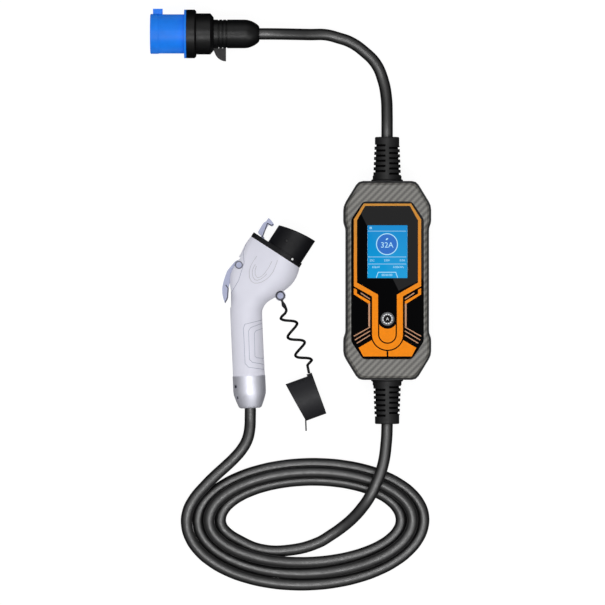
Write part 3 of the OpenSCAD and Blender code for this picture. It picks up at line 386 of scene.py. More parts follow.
def ring(bm, centre, inner, outer):
    """A flat ring in millimetres."""
    ends = [bm.verts.new((centre[0] + radius, centre[1], 0.0)) for radius in (inner, outer)]
    edge = bm.edges.new(ends)
    bmesh.ops.spin(bm, geom=[*ends, edge], cent=(*centre, 0.0), axis=(0.0, 0.0, 1.0), angle=2 * math.pi,
                   steps=RING_STEPS, use_merge=True)


def disc(bm, centre, radius, stretch=1.0, turn=0.0):
    """A flat round or oval disc in millimetres."""
    place = (Matrix.Translation((*centre, 0.0)) @ Matrix.Rotation(turn, 4, "Z")
             @ Matrix.Diagonal((stretch, 1.0, 1.0, 1.0)))
    bmesh.ops.create_circle(bm, cap_ends=True, segments=DISC_STEPS, radius=radius, matrix=place)


def stroke(bm, start, end, width):
    """A flat straight line of a given width in millimetres."""
    way = Vector(end) - Vector(start)
    middle = (Vector(start) + Vector(end)) / 2
    place = (Matrix.Translation((*middle, 0.0)) @ Matrix.Rotation(math.atan2(way.y, way.x), 4, "Z")
             @ Matrix.Diagonal((way.length + width, width, 1.0, 1.0)))
    bmesh.ops.create_grid(bm, x_segments=1, y_segments=1, size=0.5, matrix=place)


def words(bm, text, height, centre):
    """Figures or letters in millimetres, centred on a point."""
    curve = bpy.data.curves.new("words", "FONT")
    curve.body = text
    curve.size = height * LETTER_SIZE
    curve.align_x, curve.align_y = "CENTER", "CENTER"
    flat = curve_mesh(new_object("words", curve))
    flat.transform(Matrix.Translation((*centre, 0.0)))
    bm.from_mesh(flat)
    bpy.data.meshes.remove(flat)


def thin_print(name, bm, level):
    """Flat shapes drawn in millimetres as a thin raised print that stands on a level."""
    bmesh.ops.remove_doubles(bm, verts=bm.verts[:], dist=PRINT_MERGE)
    bmesh.ops.solidify(bm, geom=bm.faces[:], thickness=PRINT_THICKNESS)
    lowest = min(vert.co.z for vert in bm.verts)
    bmesh.ops.translate(bm, verts=bm.verts[:], vec=(0.0, 0.0, level - lowest))
    bmesh.ops.scale(bm, verts=bm.verts[:], vec=(MM, MM, MM))
    bmesh.ops.recalc_face_normals(bm, faces=bm.faces[:])
    return mesh_object(name, bm)


def surface_of(node):
    """A solid's surface, on which things are set down."""
    bm = bmesh.new()
    bm.from_mesh(frame["nodes"][node].data)
    surface = BVHTree.FromBMesh(bm)
    bm.free()
    return surface


def landing(surface, place):
    """Where a place seen from above meets a surface, and the surface's normal there."""
    return surface.ray_cast((place[0] * MM, place[1] * MM, DROP_HEIGHT), DOWN)[:2]


def surface_lines(name, node, routes, radius, finish, body):
    """Fine lines along routes seen from above, laid on a solid's upper surface as strips of painted shade."""
    surface = surface_of(node)
    curve = round_curve(name, radius, LINE_ROUNDNESS)
    for route in routes:
        corners = [Vector(point) for point in route]
        knots = []
        for start, end in zip(corners, corners[1:]):
            count = max(1, round((end - start).length / LINE_STEP))
            knots += [start.lerp(end, i / count) for i in range(count)]
        landed = [landing(surface, knot)[0] for knot in [*knots, corners[-1]]]
        landed = [place for place in landed if place is not None]
        spline = curve.splines.new("POLY")
        spline.points.add(len(landed) - 1)
        for point, place in zip(spline.points, landed):
            point.co = (place.x, place.y, place.z - radius * LINE_SINK, 1.0)
    mesh = curve_mesh(new_object(name, curve))
    mesh.name = name
    return put(new_object(name, mesh), finish, body)


def surface_dot(name, node, place, radius, finish):
    """A small domed dot set on a solid's upper surface at a place seen from above."""
    foot, upward = landing(surface_of(node), place)
    turn = upward.to_track_quat("Z", "Y").to_matrix().to_4x4()
    shape = Matrix.Diagonal((radius * MM, radius * MM, radius * MM * DOT_RISE, 1.0))
    bm = bmesh.new()
    bmesh.ops.create_uvsphere(bm, u_segments=DOT_SEGMENTS, v_segments=DOT_RINGS, radius=1.0,
                              matrix=Matrix.Translation(foot) @ turn @ shape)
    dot = mesh_object(name, bm)
    dot.data.shade_smooth()
    return put(dot, finish, CHARGER)


def cord_curve(name, points, diameter, steps=CORD_STEPS):
    """A round cord of a diameter in metres along points in millimetres."""
    curve = round_curve(name, diameter / 2, CORD_ROUNDNESS)
    curve.resolution_u = steps
    spline = curve.splines.new("BEZIER")
    spline.bezier_points.add(len(points) - 1)
    for knot, point in zip(spline.bezier_points, points):
        knot.co = Vector(point) * MM
        knot.handle_left_type = knot.handle_right_type = "AUTO"
    return new_object(name, curve)


INPUT_ROUTE = [
    (-170.4, 273.4, 27), (-141.6, 273.4, 27), (-125, 273.4, 26), (-105, 273.4, 20), (-85, 273.4, 12),
    (-68, 273.4, 7.6), (-54, 270, 6.4), (-40, 265, 6.4), (-25, 254.5, 6.4), (-12, 241, 6.4), (-4, 222, 8),
    (-0.6, 203, 14), (0, 185, 22), (0, 170, 26.3), (0, 159, 27), (0, 104.5, 27),
]
LEAD_IN_ROUTE = [
    (0, -104.5, 27), (0, -159, 27), (-1, -180, 27.6), (-4.8, -205, 28.6), (-13.4, -228, 28.8),
    (-20, -241, 27.4), (-26.8, -251, 24), (-38, -264, 17), (-50, -274.5, 11), (-62, -283, 8.2),
    (-76.5, -291.6, 6.8), (-107, -299.8, 6.4), (-139, -299.4, 6.4), (-163, -290, 6.4),
]
LEAD_OUT_ROUTE = [
    (-152.85, -115, 23), (-151.7, -141.4, 23), (-151.8, -151.7, 22.6), (-152.2, -162.7, 20.2),
    (-155, -176.2, 17.5), (-161, -187.2, 16), (-170, -197.7, 15.2), (-180, -207.2, 14.9),
    (-190.5, -216.7, 14.8), (-201, -227.2, 14.8),
]
LEAD_IN_LEVEL = 9
COIL_CENTRE = (-87.7, -266.5)
COIL_START, COIL_END, COIL_STEPS = 0.2, 3.30, 32
INNER_END, INNER_STEPS = 0.9, 120
OUTER_START, OUTER_END, OUTER_STEPS = 2.1, 2.9, 160
COIL_HALF_LENGTH = 94.4
COIL_TOP, COIL_TOP_PITCH = 40.0, 9.1
COIL_BOTTOM, COIL_BOTTOM_PITCH = 34.6, 12.5
COIL_LEAN = 0.05
COIL_CLEARANCE = 1.05
COIL_EASING = 4
TETHER_NECK = (-112.3, -30.9, 9.8)
TETHER_START = (-111.9, -34.2, 9.2)
TETHER_BENDS = [
    (-117.9, -42.0), (-99.9, -47.2), (-110.1, -63.3), (-91.4, -68.3), (-101.6, -83.6), (-83.6, -88.2),
    (-88.2, -94.7),
]
TETHER_END = (-86.5, -103.1, 8.4)
TETHER_AXIS_Z = 8.4
CURL_STEPS = 8


def coil_point(turn, pitch):
    """Where the oval coil lies seen from above, as it winds from the bottom by the left and the top."""
    facing = math.radians(-90 - 360 * turn)
    across, along = math.cos(facing), math.sin(facing)
    if along > 0:
        half_width = COIL_TOP + COIL_TOP_PITCH * turn
    else:
        half_width = COIL_BOTTOM + COIL_BOTTOM_PITCH * turn
    x = (COIL_HALF_LENGTH + pitch * turn) * across + COIL_LEAN * half_width * along
    return Vector((COIL_CENTRE[0] + x, COIL_CENTRE[1] + half_width * along))


def distance(point, line):
    """The shortest way from a point to a line of points."""
    shortest = math.inf
    for start, end in zip(line, line[1:]):
        foot, share = intersect_point_line(point, start, end)
        foot = start if share < 0 else end if share > 1 else foot
        shortest = min(shortest, (point - foot.to_2d()).length)
    return shortest


def coil_route(pitch, wide):
    """The coil's points in millimetres, with its odd turns riding on the even turns beside them."""
    def turns(first, last, count):
        return [first + (last - first) * i / count for i in range(count + 1)]
    inner = [Vector(point[:2]) for point in LEAD_IN_ROUTE[LEAD_IN_LEVEL:]]
    inner += [coil_point(turn, pitch) for turn in turns(COIL_START, INNER_END, INNER_STEPS)]
    outer = [coil_point(turn, pitch) for turn in turns(OUTER_START, OUTER_END, OUTER_STEPS)]
    places, rises = [], []
    for turn in turns(COIL_START, COIL_END, round((COIL_END - COIL_START) * COIL_STEPS)):
        place = coil_point(turn, pitch)
        rise = 0.0
        if int(turn) % 2:
            gap = min(distance(place, inner), distance(place, outer))
            rise = math.sqrt(max(0.0, (COIL_CLEARANCE * wide) ** 2 - gap ** 2))
        places.append(place)
        rises.append(rise)
    for _ in range(COIL_EASING):
        rises = [max(rise, (before + after) / 2)
                 for before, rise, after in zip([rises[0], *rises], rises, [*rises[1:], rises[-1]])]
    return [(place.x, place.y, wide / 2 + rise) for place, rise in zip(places, rises)]


def curl_route(rise):
    """The curly tether's strand, over the top towards one side and under towards the other."""
    bends = [Vector((x, y, TETHER_AXIS_Z)) for x, y in TETHER_BENDS]
    axis = (bends[-1] - bends[0]).normalized()
    route = [Vector(TETHER_NECK), Vector(TETHER_START)]
    for sweep, (start, end) in enumerate(zip(bends, bends[1:])):
        onward = axis * axis.dot(end - start)
        across = end - start - onward
        for i in range(CURL_STEPS):
            angle = math.pi * i / CURL_STEPS
            place = start + onward * (i / CURL_STEPS) + across * (0.5 - 0.5 * math.cos(angle))
            place.z += rise * math.sin(angle) * (-1) ** sweep
            route.append(place)
    return route + [bends[-1], Vector(TETHER_END)]


# The stage is in metres, and the sky's greys go from the horizon to straight up
SKY = ((0.0, 0.0), (0.45, 1.0), (0.9955, 1.0), (0.9985, 0.0), (1.0, 0.0))
SENSOR_WIDTH_MM = 36.0
MIDDLE_HEIGHT = 0.02
CLIP_END = 20.0
FLOOR_SIZE, FLOOR_DROP = 4.0, 0.0003
# Name, place, size, the setting of its power with a share of it, and its turn if it looks straight down
LAMPS = (
    ("key", (1.0, -0.9, 1.9), (1.1, 1.1), "key_power", 1.0, None),
    ("fill", (-1.2, 0.3, 1.7), (1.2, 1.2), "key_power", 0.45, None),
    ("back", (-0.2, 1.5, 1.3), (1.2, 1.2), "key_power", 0.3, None),
    ("front_box", (-0.11, -0.56, 2.05), (1.0, 0.5), "box_power", 1.75, 0.0),
    ("back_box", (-0.11, 0.48, 2.05), (1.0, 0.5), "box_power", 1.0, 0.0),
    ("card", (0.0782, 0.1479, 2.05), (0.19, 0.252), "card_power", 1.0, math.radians(26)),
)


class CHARGER_OT_stage(bpy.types.Operator):
    """Sets the camera, the floor and the lights"""
    bl_idname = "charger.stage"
    bl_label = "Camera and lights"

    def execute(self, context):
        values = settings("charger_stage")
        scene = context.scene
        scene.view_settings.view_transform = "Standard"
        scene.view_settings.look = "None"
        camera = new_object("camera", bpy.data.cameras.new("camera"))
        camera.location = (values.view_x, values.view_y, values.camera_height)
        camera.data.sensor_width = SENSOR_WIDTH_MM
        camera.data.lens = SENSOR_WIDTH_MM * (values.camera_height - MIDDLE_HEIGHT) / values.view_width
        camera.data.clip_end = CLIP_END
        camera.data.dof.use_dof = False
        scene.camera = camera

        world = bpy.data.worlds.new("soft sky")
        world.use_nodes = True
        tree = world.node_tree
        where = tree.nodes.new("ShaderNodeTexCoord")
        parts = tree.nodes.new("ShaderNodeSeparateXYZ")
        ramp = tree.nodes.new("ShaderNodeValToRGB")
        stops = ramp.color_ramp.elements
        for place, grey in SKY:
            stop = stops[0] if place == 0.0 else stops[-1] if place == 1.0 else stops.new(place)
            stop.color = (grey, grey, grey, 1.0)
        tree.links.new(where.outputs["Generated"], parts.inputs["Vector"])
        tree.links.new(parts.outputs["Z"], ramp.inputs["Fac"])
        sky = tree.nodes["Background"]
        sky.inputs["Strength"].default_value = values.world_light
        tree.links.new(ramp.outputs["Color"], sky.inputs["Color"])
        scene.world = world

        bm = bmesh.new()
        bmesh.ops.create_grid(bm, x_segments=1, y_segments=1, size=FLOOR_SIZE)
        bmesh.ops.translate(bm, verts=bm.verts, vec=(values.view_x, values.view_y, -FLOOR_DROP))
        floor = mesh_object("floor", bm)
        finish = Finish("floor_white", values.floor_colour, 0.9)
        finish.set("Specular IOR Level", 0.0)
        finish.set("Emission Color", (1.0, 1.0, 1.0, 1.0))
        finish.set("Emission Strength", values.floor_glow)
        floor.data.materials.append(finish.material)
        floor.visible_glossy = False

        for name, place, size, power, share, turn in LAMPS:
            lamp = bpy.data.lights.new(name, "AREA")
            lamp.shape = "RECTANGLE"
            lamp.size, lamp.size_y = size
            lamp.energy = getattr(values, power) * share
            light = new_object(name, lamp)
            light.location = place
            if turn is None:
                aim = Vector((values.view_x, values.view_y, 0.0)) - light.location
                light.rotation_euler = aim.to_track_quat("-Z", "Y").to_euler()
            else:
                light.rotation_euler = (0.0, 0.0, turn)
        return {"FINISHED"}


def jacket_finish(name, colour, roughness):
    """Satin cord jacket with a faint mottle."""
    finish = Finish(name, colour, roughness)
    finish.set("Specular IOR Level", 1.0)
    finish.set("IOR", 1.6)
    where = finish.place()
    mottle = finish.noise(where, 9.0)
    finish.paint(finish.blend(finish.spread(mottle, 0.0, 1.0), shade(colour, 0.82), shade(colour, 1.2)))
    finish.rough(finish.spread(finish.noise(where, 4.0), roughness - 0.05, roughness + 0.08))
    finish.bump(finish.noise(where, 0.5), 0.05, 0.12)
    return finish


class CHARGER_OT_cords(bpy.types.Operator):
    """Lays the mains cord, the coiled output cord and the curly tether"""
    bl_idname = "charger.cords"
    bl_label = "Cords"

    def execute(self, context):
        values = settings("charger_cords")
        wide = values.cord_diameter
        jacket = jacket_finish("cord_jacket", values.jacket_colour, 0.4)

        mains = cord_curve("mains_cord", INPUT_ROUTE, wide)
        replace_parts(put(mains, jacket, CHARGER), "input_cord")

        route = LEAD_IN_ROUTE + coil_route(values.coil_pitch / MM, wide / MM) + LEAD_OUT_ROUTE[::-1]
        output = cord_curve("output_cord", route, wide)
        put(output, jacket, CHARGER)
        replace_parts(output, "output_lead_in", "output_coil", "output_lead_out")

        curl = curl_route(values.curl_rise / MM)
        tether = cord_curve("curly_tether", curl, values.tether_diameter, TETHER_STEPS)
        strand = moulded_finish("tether_rubber", values.jacket_colour, 0.5, gloss=0.2)
        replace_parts(put(tether, strand, CHARGER), "tether_cord")
        return {"FINISHED"}


def moulded_finish(name, colour, roughness, coat=0.0, mottle=0.06, gloss=0.5):
    """Moulded plastic or rubber with a fine grain."""
    finish = Finish(name, colour, roughness, coat=coat)
    finish.set("Specular IOR Level", gloss)
    where = finish.place()
    patches = finish.spread(finish.noise(where, 14.0), 0.0, 1.0)
    finish.paint(finish.blend(patches, shade(colour, 1.0 - mottle), shade(colour, 1.0 + mottle)))
    finish.rough(finish.spread(finish.noise(where, 5.0), roughness - 0.04, roughness + 0.06))
    finish.bump(finish.noise(where, 0.6), 0.05, 0.35)
    return finish


def metal_finish(name, colour, roughness, metallic=1.0):
    """Metal with fine drawn lines."""
    finish = Finish(name, colour, roughness, metallic)
    stretch = finish.node("ShaderNodeVectorMath", {1: (4.0, 0.2, 0.2)}, operation="MULTIPLY")
    finish.link(finish.place(), stretch.inputs[0])
    lines = finish.noise(stretch.outputs["Vector"], 1.0, 2.0)
    finish.rough(finish.spread(lines, roughness * 0.8, roughness * 1.25))
    finish.bump(lines, 0.01, 0.2)
    return finish


def weave_finish(name, light, dark, rim, pitch_mm, rim_level):
    """Printed twill weave of light and dark strands, with a dark rim below a level that is partly the frame's
    dark edge and partly painted shade on its sides.
    """
    finish = Finish(name, light, 0.42, coat=0.2)
    strands = finish.axes(finish.place(pitch_mm))
    across, along = strands["X"], strands["Y"]
    step = finish.math("SUBTRACT", finish.math("FLOOR", across), finish.math("FLOOR", along))
    over = finish.math("LESS_THAN", finish.math("FLOORED_MODULO", step, TWILL), TWILL / 2)
    height = finish.node("ShaderNodeMix", data_type="FLOAT")
    finish.link(over, height.inputs["Factor"])
    finish.link(finish.math("PINGPONG", across, 0.5), height.inputs["A"])
    finish.link(finish.math("PINGPONG", along, 0.5), height.inputs["B"])
    crown = finish.spread(height.outputs["Result"], 0.0, 1.0, 0.0, 0.5)
    phase = finish.math("MULTIPLY", finish.math("SUBTRACT", across, along), 2 * math.pi / TWILL)
    slant = finish.math("ADD", finish.math("SINE", phase), 1.0)
    tone = finish.math("MULTIPLY", slant, SLANT_TONE)
    for share, weight in ((over, OVER_TONE), (crown, CROWN_TONE)):
        tone = finish.math("ADD", tone, finish.math("MULTIPLY", share, weight))
    heights = finish.axes(finish.place())
    # Partly painted shade: below the rim level the frame's sides take the dark rim colour
    raised = finish.spread(heights["Z"], 0.0, 1.0, rim_level - RIM_BLUR, rim_level + RIM_BLUR)
    finish.paint(finish.blend(raised, rim, finish.blend(tone, dark, light)))
    finish.bump(crown, 0.1, 0.4)
    return finish


def trim_finish(name, colour, reflection_colour):
    """Glossy print whose colour turns to a painted reflection near the panel's top, with a faint painted glow
    of its own colour.
    """
    finish = Finish(name, colour, 0.5)
    finish.set("Specular IOR Level", 0.1)
    where = finish.place()
    # Painted reflection: towards the panel's top the print turns to its reflection colour
    share = finish.spread(finish.axes(where)["Y"], 0.0, 1.0, *TRIM_REFLECTION_SPAN)
    print_and_reflection_tone = finish.blend(share, colour, reflection_colour)
    dark_tone = finish.blend(share, shade(colour, 0.9), shade(reflection_colour, 0.9))
    speck = finish.spread(finish.noise(where, 2.5), 0.0, 1.0)
    finish.paint(finish.blend(speck, print_and_reflection_tone, dark_tone))
    # Painted glow: the print gives off a faint light of its own colour, though it is no lamp
    finish.link(print_and_reflection_tone, finish.shader.inputs["Emission Color"])
    finish.set("Emission Strength", 0.06)
    return finish


def lit_finish(name, colour, strength):
    """Print on the display or a lamp that gives its own light."""
    finish = Finish(name, shade(colour, 0.12), 0.4)
    finish.set("Specular IOR Level", 0.1)
    finish.set("Emission Color", tuple(colour))
    finish.set("Emission Strength", strength)
    return finish


def screen_finish(name, top, bottom, low_y, high_y):
    """Backlit display that changes colour from top to bottom."""
    finish = Finish(name, (0.004, 0.008, 0.012, 1.0), 0.3, coat=0.6)
    finish.set("Specular IOR Level", 0.0)
    finish.set("Coat Roughness", 0.03)
    share = finish.spread(finish.axes(finish.place())["Y"], 0.0, 1.0, low_y, high_y)
    finish.link(finish.blend(share, bottom, top), finish.shader.inputs["Emission Color"])
    finish.set("Emission Strength", 0.92)
    return finish


def slotted_finish(name, colour, node):
    """Rubber of a strain relief, with painted shade and no gloss in the slots of its tapered boot."""
    finish = moulded_finish(name, colour, 0.5)
    low, high = (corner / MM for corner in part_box(node))
    end = max(abs(low.y), abs(high.y)) - BOOT_TIP
    along = finish.axes(finish.place())["Y"]
    inward = finish.math("SUBTRACT", end, finish.math("ABSOLUTE", along))
    boot = finish.math("ADD", finish.math("MULTIPLY", inward, BOOT_TAPER), BOOT_RADIUS)
    depth = finish.math("SUBTRACT", finish.reach((low + high) / 2, CROSS_PLANE), boot)
    # Painted shade: in the slots the rubber takes a darker copy of its colour and loses its gloss
    raised = finish.spread(depth, 0.0, 1.0, SLOT_FLOOR, SLOT_EDGE)
    finish.paint(finish.blend(raised, shade(colour, SLOT_SHADE), colour))
    finish.link(finish.math("MULTIPLY", raised, BOOT_GLOSS), finish.shader.inputs["Specular IOR Level"])
    return finish


class CHARGER_OT_box(bpy.types.Operator):
    """Dresses the control box, its front frame, its strain reliefs and its screws"""
    bl_idname = "charger.box"
    bl_label = "Control box"

    def execute(self, context):
        values = settings("charger_box")
        rubber = settings("charger_connector").rubber_colour
        dressed_copy("back_shell", moulded_finish("shell_plastic", values.shell_colour, 0.55), 0.6)
        rim_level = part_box("front_frame")[1].z / MM - RIM_DEPTH
        weave = weave_finish("frame_weave", values.weave_light, values.weave_dark, values.frame_rim_and_shade_colour,
                             values.weave_pitch / MM, rim_level)
        dressed_copy("front_frame", weave, 0.5)
        for node in ("input_relief", "output_relief"):
            dressed_copy(node, slotted_finish(node + "_rubber", rubber, node), 0.4)
        dressed_copy("back_screws", metal_finish("box_screw_steel", (0.36, 0.36, 0.38, 1.0), 0.35), 0.15)
        return {"FINISHED"}


DIAL_CENTRE = (-0.55, 40.0)
DIAL_RADIUS, DIAL_RING = 12.0, 0.95
MARK_LEVEL = 0.02
READOUT_HEIGHT, READOUT_DROP = 6.2, 1.2
LEAF_RISE, LEAF_RADIUS, LEAF_STRETCH, LEAF_TURN = 5.6, 0.8, 1.9, math.radians(40)
BUTTON_LETTER, LETTER_HEIGHT, LETTER_SINK = "A", 3.6, 0.02
# Start, end and width of each line, then text, height and centre of each word
DISPLAY_LINES = (
    ((-21.3, 54.4), (20.3, 54.4), 0.4), ((-21.3, 25.9), (20.3, 25.9), 0.45),
    ((-21.3, 18.1), (20.3, 18.1), 0.45), ((-12.2, 3.3), (-10.2, 9.0), 0.7), ((-10.2, 9.0), (9.1, 9.0), 0.7),
    ((9.1, 9.0), (11.1, 3.3), 0.7), ((-19.6, 57.0), (-17.4, 57.0), 0.5), ((-19.6, 57.9), (-17.4, 57.9), 0.5),
    ((-19.6, 58.8), (-17.4, 58.8), 0.5),
)
DISPLAY_WORDS = (
    ("25C", 2.3, (-17.0, 22.0)), ("230V", 2.3, (-0.6, 22.0)), ("0.0A", 2.3, (16.4, 22.0)),
    ("0.0kW", 2.3, (-12.6, 14.6)), ("0.00kWh", 2.3, (12.2, 14.6)), ("00:00:00", 2.5, (-0.55, 5.9)),
)


class CHARGER_OT_panel(bpy.types.Operator):
    """Dresses the glossy panel, its printed trim, the button and the lit display"""
    bl_idname = "charger.panel"
    bl_label = "Front panel"

    def execute(self, context):
        values = settings("charger_box")
        gloss = Finish("panel_gloss", values.panel_colour, 0.4, coat=1.0)
        gloss.set("Specular IOR Level", 0.0)
        gloss.set("Coat Roughness", 0.0)
        gloss.rough(gloss.spread(gloss.noise(gloss.place(), 3.0), 0.34, 0.46))
        dressed_copy("face_panel", gloss, 0.25)
        paint_node("face_trim", trim_finish("trim_orange", values.trim_colour, values.trim_reflection_colour))
        paint_node("face_lines", trim_finish("trim_tan", values.line_colour, values.line_colour))
        low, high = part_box("lcd_window")
        paint_node("lcd_window", screen_finish("screen", values.screen_top, values.screen_bottom,
                                               low.y / MM, high.y / MM))
        level = high.z / MM + MARK_LEVEL

        bm = bmesh.new()
        disc(bm, DIAL_CENTRE, DIAL_RADIUS - DIAL_RING * 0.5)
        dial = thin_print("display_dial", bm, level)
        put(dial, lit_finish("dial_blue", values.dial_colour, 0.9), CHARGER)

        bm = bmesh.new()
        ring(bm, DIAL_CENTRE, DIAL_RADIUS - DIAL_RING, DIAL_RADIUS)
        for start, end, width in DISPLAY_LINES:
            stroke(bm, start, end, width)
        for text, height, centre in DISPLAY_WORDS:
            words(bm, text, height, centre)
        words(bm, values.readout, READOUT_HEIGHT, (DIAL_CENTRE[0], DIAL_CENTRE[1] - READOUT_DROP))
        disc(bm, (DIAL_CENTRE[0], DIAL_CENTRE[1] + LEAF_RISE), LEAF_RADIUS, LEAF_STRETCH, LEAF_TURN)
        marks = thin_print("display_marks", bm, level + PRINT_THICKNESS)
        put(marks, lit_finish("mark_white", values.mark_colour, 0.95), CHARGER)

        paint_node("button_light_ring", lit_finish("ring_light", srgb(236, 238, 240), 0.85))
        dressed_copy("button_bezel", moulded_finish("bezel_grey", srgb(92, 94, 97), 0.35, gloss=0.25), 0.3)
        dressed_copy("mode_button", moulded_finish("button_black", srgb(8, 8, 9), 0.4, gloss=0.1), 0.3)
        low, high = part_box("mode_button")
        middle = (low + high) / 2 / MM
        bm = bmesh.new()
        words(bm, BUTTON_LETTER, LETTER_HEIGHT, (middle.x, middle.y))
        letter = thin_print("button_letter", bm, high.z / MM - LETTER_SINK)
        put(letter, lit_finish("letter_white", srgb(232, 234, 236), 0.8), BUTTON)
        return {"FINISHED"}


class CHARGER_OT_inside(bpy.types.Operator):
    """Paints the boards, the power parts, the seals and the small hardware inside"""
    bl_idname = "charger.inside"
    bl_label = "Inner pieces"

    def execute(self, context):
        board = moulded_finish("board_green", srgb(24, 92, 58), 0.45)
        black = moulded_finish("inner_black", srgb(30, 30, 32), 0.5)
        white = moulded_finish("inner_white", srgb(222, 222, 216), 0.5)
        steel = metal_finish("inner_steel", (0.56, 0.57, 0.58, 1.0), 0.35)
        copper = metal_finish("winding_copper", (0.62, 0.3, 0.14, 1.0), 0.35)
        seal = moulded_finish("seal_rubber", srgb(26, 26, 27), 0.7)
        for finish, names in (
            (board, ("display_board", "main_board")),
            (black, ("power_relays", "supply_module", "tact_switch", "latch_switch")),
            (white, ("terminal_blocks",)),
            (steel, ("lcd_module", "board_screws", "latch_spring", "connector_screws")),
            (copper, ("current_sensor",)),
            (seal, ("gasket", "plug_gland_seal", "tail_seal")),
        ):
            for name in names:
                paint_node(name, finish)
        return {"FINISHED"}


class CHARGER_OT_plug(bpy.types.Operator):
    """Dresses the blue industrial plug"""
    bl_idname = "charger.plug"
    bl_label = "Plug"

    def execute(self, context):
        values = settings("charger_connector")
        blue = moulded_finish("plug_blue", values.plug_blue, 0.4, gloss=0.25)
        black = moulded_finish("plug_black", values.plug_black, 0.36, gloss=0.32)
        brass = metal_finish("pin_brass", (0.72, 0.53, 0.26, 1.0), 0.28)
        dressed_copy("plug_shroud", blue, 0.4)
        dressed_copy("plug_pin_carrier", blue, 0.3)
        for node in ("plug_collar", "plug_rear_shell", "plug_gland_nut"):
            dressed_copy(node, black, 0.4)
        for node in ("plug_line_pin", "plug_neutral_pin", "plug_earth_pin"):
            dressed_copy(node, brass, 0.2)
        dressed_copy("plug_lock_tongue", moulded_finish("tongue_grey", srgb(50, 49, 50), 0.5, gloss=0.2), 0.3)
        return {"FINISHED"}


# Routes of the fine lines of painted shade, seen from above
GRIP_LINES = (
    ((-138.8, -43.8), (-157.6, -48.5), (-159.1, -53.1), (-157.3, -91.9), (-153.5, -96.0), (-136.9, -98.5)),
    ((-138.2, -47.2), (-151.2, -52.2), (-153.5, -55.8), (-152.4, -87.4), (-149.3, -90.5), (-136.9, -92.9)),
    ((-138.2, -53.1), (-145.6, -55.8), (-147.1, -58.6), (-146.5, -83.6), (-144.6, -85.5), (-136.9, -86.4)),
)
COLLAR_LINES = (
    ((-144.3, 27.2), (-148.7, 20.5), (-151.5, 15.0), (-152.7, 9.4), (-152.5, 3.3), (-150.4, -0.9),
     (-147.1, -3.0), (-143.2, -3.0), (-138.8, -1.7), (-134.3, 0.9), (-129.9, 4.7), (-126.5, 9.4),
     (-123.8, 15.0), (-121.5, 22.2)),
    ((-146.0, 17.8), (-148.6, 13.3), (-149.4, 8.9), (-148.7, 3.9), (-146.7, 0.8), (-143.7, 0.1),
     (-139.9, 1.4), (-136.4, 3.9), (-133.2, 7.2)),
    ((-144.8, 16.1), (-146.3, 11.1), (-146.0, 6.4), (-144.7, 3.8), (-142.6, 3.0), (-139.3, 4.4),
     (-135.7, 7.8), (-131.0, 14.4), (-127.6, 21.1)),
)
SIDE_LINES = (
    ((-154.7, 45.3), (-159.3, 31.6), (-158.5, 19.4), (-164.6, -0.3), (-172.9, -14.1)),
)
LATCH_SHADE_LINES = (
    ((-138.2, 48.6), (-132.6, 63.5), (-128.0, 60.7), (-126.2, 62.5)),
    ((-178.9, -5.0), (-176.2, -8.7), (-177.0, -19.8), (-179.8, -24.4)),
)
LATCH_SHADE_RADIUS = 0.75
FLANGE_DOT, FLANGE_DOT_RADIUS = (-105.0, 23.5), 1.4
NOZZLE_MARK, NOZZLE_MARK_RADIUS = (-111.6, 43.8), 1.5


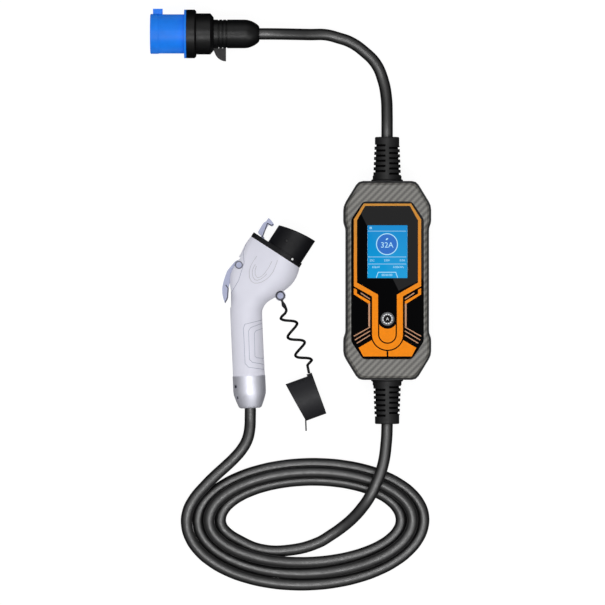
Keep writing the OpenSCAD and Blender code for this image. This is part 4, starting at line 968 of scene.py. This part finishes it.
class CHARGER_OT_connector(bpy.types.Operator):
    """Dresses the vehicle connector, its latch, its tail cap, its tether eye and its dust cap"""
    bl_idname = "charger.connector"
    bl_label = "Vehicle connector"

    def execute(self, context):
        values = settings("charger_connector")
        body = moulded_finish("connector_white", values.body_colour, 0.45, mottle=0.012, gloss=0.35)
        black = moulded_finish("nozzle_black", values.nozzle_colour, 0.4, gloss=0.16)
        rubber = moulded_finish("cap_rubber", values.cap_colour, 0.5, gloss=0.25)
        contact = metal_finish("contact_silver", (0.75, 0.74, 0.7, 1.0), 0.25)
        lilac = moulded_finish("latch_grey", values.latch_colour, 0.4, coat=0.15)
        # Painted shade: the latch's steep sides get a darker copy of its lilac
        painted_side_shade = shade(values.latch_colour, 0.6)
        lilac.paint(lilac.blend(lilac.upright(0.3, 0.6), painted_side_shade, values.latch_colour))
        for node in ("connector_top_shell", "connector_bottom_shell"):
            dressed_copy(node, body, 0.5, 3, merge_flat=False)
        for node in ("connector_flange", "connector_nozzle", "contact_carrier"):
            dressed_copy(node, black, 0.4)
        for node in ("line_contact", "neutral_contact", "earth_contact", "pilot_contact", "sense_contact"):
            paint_node(node, contact)
        dressed_copy("latch_lever", lilac, 0.4)
        for node in ("latch_pin", "tether_screw"):
            low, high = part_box(node)
            middle = (low + high) / 2 / MM
            head = (high.x - low.x) / 2 / MM
            domed = moulded_finish(node + "_lilac", values.latch_colour, 0.4, coat=0.15)
            edge = domed.spread(domed.reach(middle, LEVEL_PLANE), 0.0, 1.0, head * 0.7, head * 0.8)
            domed.paint(domed.blend(edge, values.latch_colour, values.pin_rim_and_latch_shade_colour))
            dressed_copy(node, domed, 0.3)
        dressed_copy("tail_cap_screws", metal_finish("screw_steel", values.tail_screw_colour, 0.2, 0.4), 0.15)
        dressed_copy("tail_cap", metal_finish("tail_satin", values.tail_colour, 0.48, 0.7), 0.4)
        for node in ("tether_eye", "dust_cap"):
            dressed_copy(node, rubber, 0.4)

        # A small white dot on the flange
        white_dot = moulded_finish("dot_white", srgb(238, 238, 238), 0.4)
        surface_dot("flange_dot", "connector_flange", FLANGE_DOT, FLANGE_DOT_RADIUS, white_dot)
        black_mark = moulded_finish("mark_black", srgb(6, 6, 8), 0.3)
        surface_dot("nozzle_mark", "connector_nozzle", NOZZLE_MARK, NOZZLE_MARK_RADIUS, black_mark)
        # Painted shade: grey strips in the grip's grooves, along the side edge and on the collar's ridges
        painted_groove_shade = moulded_finish("groove_shade", values.groove_shade_colour, 0.5)
        painted_ridge_shade = moulded_finish("ridge_shade", values.ridge_shade_colour, 0.5)
        for name, routes, line_finish in (
            ("grip_lines", GRIP_LINES, painted_groove_shade),
            ("collar_lines", COLLAR_LINES, painted_ridge_shade),
            ("side_lines", SIDE_LINES, painted_groove_shade),
        ):
            surface_lines(name, "connector_top_shell", routes, values.groove_radius, line_finish, CHARGER)
        # Painted shade: dark strips along the latch lever's shaded edges
        painted_edge_shade = moulded_finish("latch_painted_shade", values.pin_rim_and_latch_shade_colour, 0.5)
        surface_lines("latch_shade_lines", "latch_lever", LATCH_SHADE_LINES, LATCH_SHADE_RADIUS * MM, painted_edge_shade, LATCH)
        return {"FINISHED"}


class CHARGER_PT_panel(bpy.types.Panel):
    """Sidebar panel with every step of the dressing"""
    bl_label = "Charger"
    bl_idname = "CHARGER_PT_panel"
    bl_space_type = "VIEW_3D"
    bl_region_type = "UI"
    bl_category = "Charger"

    def draw(self, context):
        for group, operators in STEPS:
            column = self.layout.column(align=True)
            values = settings(group)
            for name in values.bl_rna.properties.keys():
                if name not in ("rna_type", "name"):
                    column.prop(values, name)
            for operator in operators:
                column.operator(operator.bl_idname)


STEPS = (
    ("charger_stage", (CHARGER_OT_stage,)),
    ("charger_box", (CHARGER_OT_box, CHARGER_OT_panel, CHARGER_OT_inside)),
    ("charger_connector", (CHARGER_OT_plug, CHARGER_OT_connector)),
    ("charger_cords", (CHARGER_OT_cords,)),
)
GROUPS = {
    "charger_stage": ChargerStageSettings,
    "charger_cords": ChargerCordSettings,
    "charger_box": ChargerBoxSettings,
    "charger_connector": ChargerConnectorSettings,
}
OPERATORS = [operator for _, operators in STEPS for operator in operators]
CLASSES = (*GROUPS.values(), *OPERATORS, CHARGER_PT_panel)


def register():
    for item in CLASSES:
        bpy.utils.register_class(item)
    for name, group in GROUPS.items():
        setattr(bpy.types.Scene, name, PointerProperty(type=group))


def unregister():
    for name in GROUPS:
        delattr(bpy.types.Scene, name)
    for item in reversed(CLASSES):
        bpy.utils.unregister_class(item)


def main():
    register()
    for operator in OPERATORS:
        area, name = operator.bl_idname.split(".")
        getattr(getattr(bpy.ops, area), name)()


if __name__ == "__main__":
    main()
